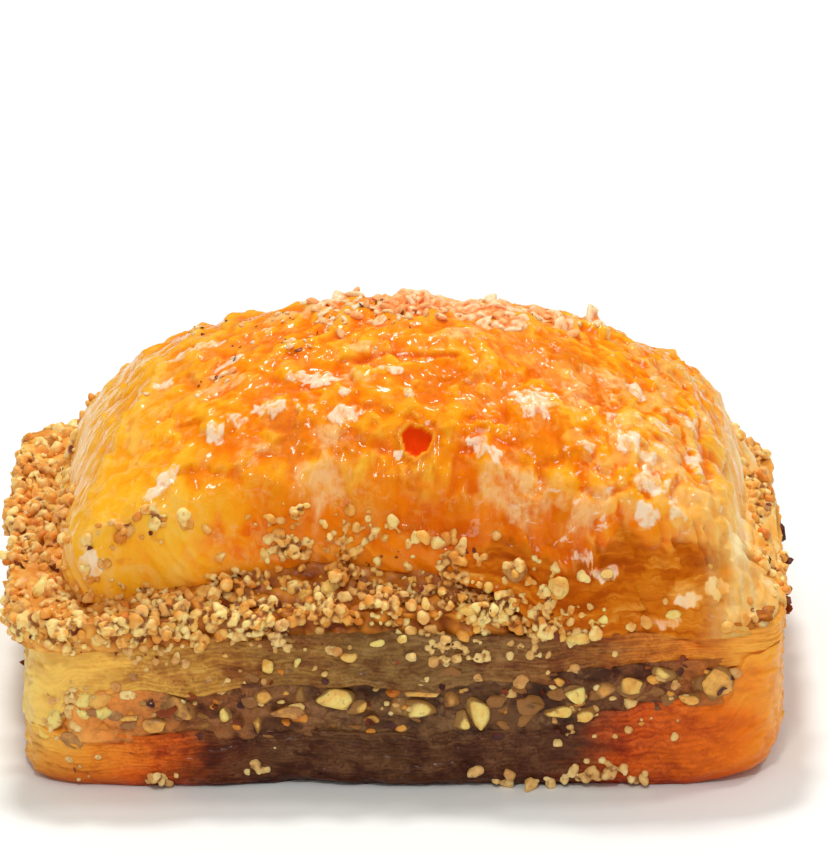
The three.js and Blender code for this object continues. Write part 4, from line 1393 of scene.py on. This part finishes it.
class Finish:
    """One material, or the room round the block, and the nodes that make it."""

    def __init__(self, name, kind=bpy.data.materials):
        self.owner = kind.new(name)
        self.owner.use_nodes = True
        self.tree = self.owner.node_tree
        self.tree.nodes.clear()

    def node(self, kind, settings=None, inputs=None, output=0):
        node = self.tree.nodes.new(kind)
        for key, value in (settings or {}).items():
            if key == "stops":
                self._stops(node.color_ramp, value)
            else:
                setattr(node, key, value)
        for key, value in (inputs or {}).items():
            self._feed(node.inputs[key], value)
        return None if output is None else Value(self, node.outputs[output])

    def _stops(self, ramp, rows):
        while len(ramp.elements) < len(rows):
            ramp.elements.new(0.5)
        for element, (place, colour) in zip(ramp.elements, rows):
            element.position, element.color = place, (*colour, 1)

    def _feed(self, socket, value):
        """Links a value to a socket, or sets the socket to a number, a vector or a colour."""
        if isinstance(value, Value):
            self.tree.links.new(value.socket, socket)
        elif isinstance(value, tuple) and len(value) == 3 and len(socket.default_value) == 4:
            socket.default_value = (*value, 1)
        else:
            socket.default_value = value

    def number(self, name):
        """A number that the piece carries at each of its points."""
        return self.node("ShaderNodeAttribute", {"attribute_name": name}, output="Fac")

    def place(self):
        return self.node("ShaderNodeTexCoord", output="Object")

    def vectors(self, operation, a, b):
        return self.node("ShaderNodeVectorMath", {"operation": operation}, {0: a, 1: b})

    def stretched(self, x, y=None, z=None):
        """Object coordinates scaled per axis, in repeats per metre. One number does for all three."""
        return self.vectors("MULTIPLY", self.place(), (x, y or x, z or x))

    def wavy(self, x, y, z, sway, waves):
        """The same, but the levels rise and fall by up to sway (in metres), with so many waves per metre."""
        cloud = self.node("ShaderNodeTexNoise", None, {"Vector": self.stretched(waves)}, output="Color")
        lift = self.vectors("MULTIPLY", cloud, (0, 0, sway))
        return self.vectors("MULTIPLY", self.vectors("ADD", self.place(), lift), (x, y, z))

    def grain(self, vector, detail=3.0, roughness=0.55, warp=0.0):
        inputs = {"Vector": vector, "Scale": 1.0, "Detail": detail, "Roughness": roughness}
        return self.node("ShaderNodeTexNoise", None, inputs | {"Distortion": warp}, output="Fac")

    def along(self, axis):
        """How far along one axis of the block, in metres."""
        return self.node("ShaderNodeSeparateXYZ", None, {0: self.place()}, output=axis)

    def across(self):
        """0 at the block's left face, 1 at its right face."""
        return self.along("X") * (1000 / WIDTH) + 0.5

    def ramp(self, factor, rows):
        return self.node("ShaderNodeValToRGB", {"stops": rows}, {"Fac": factor}, output="Color")

    def mixed(self, factor, a, b, how="MIX"):
        settings = {"data_type": "RGBA", "blend_type": how}
        return self.node("ShaderNodeMix", settings, {0: factor, 6: a, 7: b}, output=2)

    def bump(self, height, strength, distance):
        inputs = {"Height": height, "Strength": strength, "Distance": distance}
        return self.node("ShaderNodeBump", None, inputs, output="Normal")

    def closed(self, shader, kind="ShaderNodeOutputMaterial"):
        """Gives the shader to the output, and gives back what now wears it."""
        self.node(kind, None, {"Surface": shader}, output=None)
        return self.owner

    def surface(self, **inputs):
        """Closes the material with one principled surface. Names use _ for a space."""
        named = {key.replace("_", " "): value for key, value in inputs.items()}
        return self.closed(self.node("ShaderNodeBsdfPrincipled", None, named))


def srgb(*colour):
    """A colour as on a screen, 0 to 255, turned into light."""
    shares = [part / 255 for part in colour]
    return tuple(c / 12.92 if c <= 0.04045 else ((c + 0.055) / 1.055) ** 2.4 for c in shares)


def stops(*rows):
    """The stops of a colour ramp. A row is a place on it, then red, green and blue as on a screen."""
    return [(place, srgb(*colour)) for place, *colour in rows]


# %% [markdown]
# ### Soaked sheets
#
# Syrup makes the lower sheets dark and a little see-through. The bottom stack is amber at both ends,
# where nothing but pastry and syrup shows, made brighter there as painted glow of light through the
# thin corners. It is grey-brown in the middle, where the nuts have stained it, and darker towards its
# foot as painted shade. The middle stack is pale and straw-coloured on the left and browner on the right.

# %% The soaked sheets' finish
def soaked_sheets(name, across_stops, dark, light, tint, foot_shade=None):
    finish = Finish(name)
    across = finish.across()
    wobble = finish.grain(finish.stretched(160, 160, 300), detail=4)
    # The across stops are brighter at both ends: the soaked pastry's own amber, made brighter as painted glow
    # of light through the thin corners.
    base = finish.ramp(across + (wobble - 0.5) * 0.22, across_stops)
    if foot_shade is not None:
        # Painted shade: the colour is multiplied darker towards the foot of the stack.
        low = 1 - (finish.along("Z") * 1000 + wobble * 1.2).over(0.6, 2.4)
        base = finish.mixed(low * 0.75, base, foot_shade, "MULTIPLY")
    fibres = finish.grain(finish.wavy(640, 640, 3000, 0.002, 380), detail=5, roughness=0.68, warp=0.5)
    strands = finish.grain(finish.wavy(260, 260, 1300, 0.0026, 240), detail=3, roughness=0.6, warp=0.4)
    blotches = finish.grain(finish.stretched(380, 380, 560), detail=4, roughness=0.6)
    tone, crest = finish.number("tone"), finish.number("crest")
    pale = (fibres * 0.6 + strands * 0.3 + tone * 0.2).over(0.52, 0.74)
    deep = (1 - (fibres * 0.5 + strands * 0.35 + crest * 0.18)).over(0.42, 0.66)
    ends = ((across - 0.5) * (across - 0.5) * 4).over(0.36, 0.8)
    base = finish.mixed(pale * (0.6 - ends * 0.4), base, light, "SCREEN")
    base = finish.mixed(deep * (0.65 - ends * 0.5), base, dark, "MULTIPLY")
    base = finish.mixed(blotches.over(0.48, 0.62) * (0.75 - ends * 0.5), base, tint, "MULTIPLY")
    normal = finish.bump((fibres * 0.6 + strands * 0.4) * (1 - ends * 0.6), 0.4, 0.0002)
    return finish.surface(
        Base_Color=base, Roughness=blotches * 0.3 + 0.32, Normal=normal, IOR=1.38,
        Subsurface_Weight=0.2, Subsurface_Radius=(1.0, 0.45, 0.15), Subsurface_Scale=0.0008,
        Specular_IOR_Level=0.2, Coat_Weight=0.2, Coat_Roughness=0.15, Coat_IOR=1.3,
    )


bottom_finish = soaked_sheets(
    "soaked_bottom_sheets",
    stops((0.0, 255, 196, 84), (0.08, 255, 156, 42), (0.18, 240, 108, 10), (0.235, 128, 66, 28),
          (0.3, 108, 66, 36), (0.5, 106, 68, 36), (0.71, 104, 60, 34), (0.8, 222, 90, 6),
          (0.92, 250, 126, 14), (1.0, 255, 170, 52)),
    dark=srgb(150, 92, 70), light=srgb(104, 76, 52), tint=srgb(190, 140, 150), foot_shade=srgb(190, 120, 70),
)
middle_finish = soaked_sheets(
    "soaked_middle_sheets",
    stops((0.0, 255, 212, 106), (0.12, 252, 192, 82), (0.25, 194, 136, 54), (0.42, 150, 110, 54),
          (0.6, 144, 104, 56), (0.76, 172, 104, 40), (0.88, 244, 140, 34), (1.0, 255, 176, 66)),
    dark=srgb(160, 112, 78), light=srgb(112, 92, 58), tint=srgb(196, 150, 136),
)

# %% [markdown]
# ### Ground walnut
#
# Fresh walnut is cream inside. Toasting and syrup turn it honey-coloured, skins are red-brown to
# nearly black. Each copy carries its own tone, so that no two neighbours look alike.

# %% The nuts' finishes
# The gap colour stands for syrup and for painted shade between the crumbs.
GAP_SYRUP_SHADE, WET_SHARE = 0.88, 0.55  # how much the syrup's colours cover


def ground_nut(name, tones, speck, roughness=0.42, scatter=0.5, syrup_shade=None, soaked=None):
    """The gaps of a moist heap get a syrup colour that is also painted shade; soaked is the colour of the
    wetter places.
    """
    finish = Finish(name)
    mottle = finish.grain(finish.stretched(1900), detail=4)
    base = finish.ramp(finish.number("tone") * 0.7 + mottle * 0.8 - 0.25, tones)
    spots = finish.grain(finish.stretched(2600), detail=2).over(0.6, 0.72)
    base = finish.mixed(spots * 0.5, base, speck)
    if soaked is not None:
        cloud = finish.grain(finish.stretched(400), detail=3, roughness=0.6, warp=0.4)
        base = finish.mixed((1 - cloud.over(0.42, 0.56)) * WET_SHARE, base, soaked)
    if syrup_shade is not None:
        # Painted shade: where the relief is low, in the gaps between crumbs, the colour turns to the
        # syrup-brown gap colour.
        gaps = 1 - (finish.number("relief") + (mottle - 0.5) * 0.5).over(0.37, 0.68)
        base = finish.mixed(gaps * GAP_SYRUP_SHADE, base, syrup_shade)
    normal = finish.bump(finish.grain(finish.stretched(2200), detail=4), 0.6, 0.00018)
    return finish.surface(
        Base_Color=base, Roughness=mottle * 0.2 + roughness, Normal=normal, IOR=1.4,
        Subsurface_Weight=scatter, Subsurface_Radius=(1.0, 0.9, 0.7), Subsurface_Scale=0.0004,
        Specular_IOR_Level=0.25, Coat_Weight=0.3, Coat_Roughness=0.2, Coat_IOR=1.35,
    )


cream_nut = ground_nut(
    "cream_walnut",
    stops((0.0, 252, 208, 122), (0.35, 255, 224, 146), (0.65, 246, 186, 92), (1.0, 230, 146, 50)),
    speck=srgb(206, 120, 46), syrup_shade=srgb(150, 72, 0), soaked=srgb(218, 130, 34),
)
ridge_nut = ground_nut(
    "fresh_walnut",
    stops((0.0, 255, 202, 146), (0.35, 255, 218, 172), (0.65, 252, 188, 124), (1.0, 246, 152, 78)),
    speck=srgb(214, 112, 50), syrup_shade=srgb(240, 124, 26),
)
foot_nut = ground_nut(
    "soaked_crumbs",
    stops((0.0, 255, 222, 154), (0.5, 240, 194, 118), (1.0, 204, 138, 74)),
    speck=srgb(140, 90, 40), syrup_shade=srgb(156, 88, 30),
)
toasted_nut = ground_nut(
    "toasted_walnut",
    stops((0.0, 252, 194, 98), (0.5, 238, 162, 66), (1.0, 206, 108, 30)),
    speck=srgb(150, 74, 24), syrup_shade=srgb(146, 66, 0), soaked=srgb(204, 110, 22),
)
chopped_nut = ground_nut(
    "chopped_walnut",
    stops((0.0, 255, 232, 150), (0.25, 246, 214, 120), (0.5, 240, 176, 82), (0.75, 186, 130, 72),
          (1.0, 150, 96, 56)),
    speck=srgb(150, 96, 50), roughness=0.38, syrup_shade=srgb(150, 98, 46),
)
nut_skin = ground_nut(
    "walnut_skin",
    stops((0.0, 158, 72, 26), (0.6, 108, 46, 24), (1.0, 62, 36, 40)),
    speck=srgb(60, 32, 36), roughness=0.35, scatter=0.1,
)


def nut_bed_finish(name, dark, light, dark_left, light_left):
    """A paste that changes from its left colours to its own across the block."""
    finish = Finish(name)
    crest, tone = finish.number("crest"), finish.number("tone")
    across = finish.across()
    grain = finish.grain(finish.stretched(1100), detail=4, roughness=0.6)
    blotches = finish.grain(finish.stretched(420), detail=4)
    shade = crest * 0.65 + grain * 0.4 + tone * 0.2 + (blotches - 0.5) * 0.7 - 0.1
    between = mix(np.array(dark), np.array(light), 0.4).tolist()
    own = finish.ramp(shade, [(0.15, dark), (0.5, between), (0.85, light)])
    left = finish.ramp(shade, [(0.15, dark_left), (0.85, light_left)])
    base = finish.mixed((across + (blotches - 0.5) * 0.1).over(0.04, 0.2), left, own)
    normal = finish.bump(grain * 0.7 + blotches * 0.3, 0.6, 0.0003)
    return finish.surface(
        Base_Color=base, Roughness=grain * 0.3 + 0.3, Normal=normal,
        Subsurface_Weight=0.2, Subsurface_Radius=(1.0, 0.5, 0.2), Subsurface_Scale=0.0006,
        Specular_IOR_Level=0.2, Coat_Weight=0.2, Coat_Roughness=0.2, Coat_IOR=1.3,
    )


lower_bed_finish = soaked_sheets(
    "lower_nut_paste",
    stops((0.0, 255, 190, 96), (0.12, 246, 152, 66), (0.22, 160, 94, 46), (0.45, 122, 82, 46),
          (0.7, 114, 74, 42), (0.86, 140, 76, 36), (1.0, 246, 140, 44)),
    dark=srgb(120, 78, 70), light=srgb(116, 92, 62), tint=srgb(130, 100, 112),
)
upper_bed_finish = nut_bed_finish(
    "upper_nut_paste", srgb(146, 66, 2), srgb(226, 142, 40), srgb(214, 122, 24), srgb(250, 188, 88))

# %% [markdown]
# ### The syruped crust
#
# The skin is golden where it is thin and stretched over a crest, and deep orange where syrup pools
# between crests, darkened further there as painted shade. The syrup is a clear coat over it, which gives
# sharp highlights; more are painted on as near-white flakes, spots and glints.
# Its cut edge shows the dry sheets: toffee brown at the front, and pale on the right where the lower
# sheets stick out from under the skin.

# %% The crust's finish
def syruped_crust():
    finish = Finish("syruped_crust")
    torn, hole = finish.number("torn"), finish.number("hole")
    # Painted shade: the skin is made deeper orange where it lies low between crests.
    valley_shade = 1 - finish.number("relief").over(0.15, 0.85)
    cut, crest, tone = finish.number("cut"), finish.number("crest"), finish.number("tone")
    crease, edge = finish.number("crease"), finish.number("edge")
    pale, peach, soaked = (finish.number(name) for name in ("pale", "peach", "soaked"))
    across = finish.across()
    clouds = finish.grain(finish.stretched(130), detail=5, roughness=0.62, warp=0.8)
    mottle = finish.grain(finish.stretched(520), detail=4, roughness=0.6, warp=0.5)
    heading = [finish.number(name) for name in ("towards_x", "towards_y", "down")]

    def down_the_slope(sideways, along):
        parts = {0: heading[0] * sideways, 1: heading[1] * sideways, 2: heading[2] * along}
        return finish.grain(
            finish.node("ShaderNodeCombineXYZ", None, parts), detail=4, roughness=0.62, warp=0.5)

    streaks, hairs, glints = down_the_slope(11, 0.3), down_the_slope(36, 0.9), down_the_slope(20, 1.0)
    browned = clouds * 0.6 + streaks * 0.35 + mottle * 0.2 + valley_shade * 0.32 - torn * 0.12 + across * 0.1 - 0.2
    skin = finish.ramp(
        browned,
        stops((0.14, 255, 200, 76), (0.32, 255, 172, 30), (0.48, 254, 144, 6), (0.64, 248, 120, 0),
              (0.85, 232, 88, 0)),
    )
    skin = finish.mixed((1 - across.over(0.05, 0.32)) * 0.6, skin, srgb(255, 184, 34))
    amber = finish.ramp(mottle, stops((0.35, 216, 90, 0), (0.65, 244, 124, 0)))
    skin = finish.mixed(soaked * 0.75, skin, amber)
    # Painted shade: a dark orange line along the crease.
    skin = finish.mixed(crease * 0.6, skin, srgb(226, 84, 4))
    films = finish.grain(finish.wavy(700, 700, 700, 0.0015, 300), detail=4, roughness=0.65)
    aside = (across - 0.45) * (across - 0.45) * 5 + 0.15
    petals = finish.grain(finish.stretched(340), detail=2, roughness=0.5, warp=1.4)
    # The second colour is a painted highlight, near-white.
    film, highlight_white = srgb(255, 200, 104), srgb(255, 230, 200)
    skin = finish.mixed(petals.over(0.5, 0.6) * aside.over(0.0, 1.0) * 0.55, skin, film)
    skin = finish.mixed(streaks.over(0.48, 0.62) * hairs.over(0.46, 0.6) * (aside * 0.7 + 0.1), skin, film)
    skin = finish.mixed(films.over(0.58, 0.68) * (aside * 0.2 + 0.06), skin, film)
    skin = finish.mixed(peach * (hairs * 0.5 + films * 0.5).over(0.36, 0.6) * 0.75, skin, srgb(255, 200, 134))
    # Painted highlights: the pale flakes, broken up by streaks.
    glinting_flakes = pale.over(0.2, 0.7) * (hairs * 0.6 + films * 0.4).over(0.36, 0.56)
    skin = finish.mixed(glinting_flakes * 0.82, skin, highlight_white)
    # Painted highlights: small near-white glints, most of them on the right.
    skin = finish.mixed(glints.over(0.61, 0.66) * (across.over(0.52, 0.75) * 0.5 + 0.1), skin, highlight_white)
    skin = finish.mixed(hole, skin, srgb(232, 60, 0))
    freckles = finish.grain(finish.stretched(800), detail=2).over(0.67, 0.75)
    skin = finish.mixed(freckles * 0.3, skin, srgb(206, 80, 10))
    threads = finish.grain(finish.wavy(320, 320, 2800, 0.001, 260), detail=4, roughness=0.62)
    strands = finish.grain(finish.stretched(900, 420, 110), detail=4, roughness=0.6)
    glassy = finish.ramp(strands, stops((0.32, 252, 168, 56), (0.52, 255, 202, 110), (0.7, 255, 230, 172)))
    skin = finish.mixed(edge * across.over(0.82, 0.92) * 0.9, skin, glassy)
    front_cut = finish.ramp(
        threads * 0.75 + tone * 0.4 - 0.07,
        stops((0.3, 186, 84, 2), (0.46, 210, 106, 6), (0.6, 228, 132, 22), (0.76, 248, 174, 74)),
    )
    cut_colour = finish.mixed(across.over(0.87, 0.94), front_cut, glassy)
    cut_colour = finish.mixed((1 - crest) * 0.25, cut_colour, srgb(170, 90, 30), "MULTIPLY")
    # Where the painted highlight spots lie on the cut edge, it keeps the skin's colours.
    base = finish.mixed(cut * (1 - pale.over(0.2, 0.7)), skin, cut_colour)
    fine = finish.grain(finish.stretched(1500), detail=4, roughness=0.6)
    normal = finish.bump(fine * 0.15 + films * 0.3 + hairs * 0.6 + streaks * 0.5, 0.45, 0.0004)
    return finish.surface(
        Base_Color=base, Roughness=mottle * 0.3 + 0.2 + cut * 0.15 + hole * 0.4, Normal=normal, IOR=1.42,
        Subsurface_Weight=0.2, Subsurface_Radius=(1.0, 0.45, 0.12), Subsurface_Scale=0.001,
        Specular_IOR_Level=0.05,
        Coat_Weight=(1 - hole) * (0.9 - cut * 0.7), Coat_Roughness=0.09, Coat_IOR=1.22,
    )


crust_finish = syruped_crust()
print("materials:", len(bpy.data.materials))

# %% [markdown]
# ## Dressing the solids
#
# Every piece gets its finish and rides on the block's one body, and the solid that it stands for is
# hidden.

# %% Finish, ride and replace
def dress(piece, material, node):
    piece.data.materials.clear()
    piece.data.materials.append(material)
    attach(piece, "root")
    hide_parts(node)


lower_finishes = (chopped_nut, foot_nut, toasted_nut, nut_skin)
upper_finishes = (chopped_nut, cream_nut, toasted_nut, nut_skin)
top_finishes = (cream_nut, ridge_nut, nut_skin)
DRESSED = [
    ("bottom_pastry", [(bottom_sheets, bottom_finish)]),
    ("middle_pastry", [(middle_sheets, middle_finish)]),
    ("lower_nuts", [(lower_bed, lower_bed_finish)]),
    ("upper_nuts", [(upper_bed, upper_bed_finish)]),
    ("top_pastry", [(crust, crust_finish)]),
    ("lower_nuts", zip(lower_pieces, lower_finishes)),
    ("upper_nuts", zip(upper_pieces, upper_finishes)),
    ("top_pastry", zip(top_pieces, top_finishes)),
    ("middle_pastry", [(face_piece, foot_nut)]),
    ("bottom_pastry", [(foot_piece, foot_nut)]),
]
for node, pairs in DRESSED:
    for piece, material in pairs:
        dress(piece, material, node)

# %% [markdown]
# ## Floor, light and camera
#
# Food on white is lit softly from all round, so that the white table and room throw light back. Three
# lamps that the syrup can mirror hang high behind the block, high in front of it and on its right. The
# camera is far away with a long lens and looks down at 22.5 degrees.

# %% The floor
deselect()
bpy.ops.mesh.primitive_plane_add(size=6, location=(0, 0, 0))
floor = bpy.context.object
floor.name = "table_top"
table = Finish("white_table")
smudges = table.grain(table.stretched(6), detail=2)
floor.data.materials.append(table.surface(
    Base_Color=table.ramp(smudges, stops((0.0, 244, 246, 242), (1.0, 247, 249, 245))), Roughness=0.55,
))

# %% The lights
BLOCK_MIDDLE = Vector((0, 0, 12)) * MM


def softbox(name, place, size, brightness):
    """A flat lamp that faces the block. Brightness is its own look, as a share of plain white."""
    lamp = bpy.data.lights.new(name, "AREA")
    lamp.shape, lamp.size, lamp.size_y = "RECTANGLE", size[0] * MM, size[1] * MM
    lamp.energy = brightness * math.pi * size[0] * size[1] * MM * MM
    holder = bpy.data.objects.new(name, lamp)
    bpy.context.scene.collection.objects.link(holder)
    holder.location = Vector(place) * MM
    holder.rotation_euler = (BLOCK_MIDDLE - holder.location).to_track_quat("-Z", "Y").to_euler()


ROOM_LIGHT, ROOM_MIRROR = 0.52, 0.05
softbox("high_lamp", (-40, 150, 400), (66, 56), 70)
softbox("front_lamp", (-30, -280, 330), (46, 36), 82)
softbox("right_lamp", (215, 60, 360), (52, 44), 40)

# The room is plain white to look at, dimmer as a light, and nearly dark in the syrup's mirror, as if
# black cards stood round the table: that keeps the colours deep.
room = Finish("white_room", bpy.data.worlds)
looked_at = room.node("ShaderNodeLightPath", output="Is Camera Ray")
mirrored = room.node("ShaderNodeLightPath", output="Is Glossy Ray")
brightness = looked_at * (1 - ROOM_LIGHT) + mirrored * (ROOM_MIRROR - ROOM_LIGHT) + ROOM_LIGHT
white = room.node("ShaderNodeBackground", None, {"Color": (1, 1, 1), "Strength": brightness})
bpy.context.scene.world = room.closed(white, "ShaderNodeOutputWorld")
bpy.context.scene.view_settings.view_transform = "Standard"

# %% The camera
camera = bpy.data.objects.new("camera", bpy.data.cameras.new("camera"))
bpy.context.scene.collection.objects.link(camera)
camera.data.lens, camera.data.sensor_width = 362.6, 36.0
camera.data.clip_start, camera.data.clip_end = 0.05, 20
camera.location = in_metres(0.595, -505.4, 227.3)
camera.rotation_euler = (math.radians(67.5), 0, 0)
bpy.context.scene.camera = camera
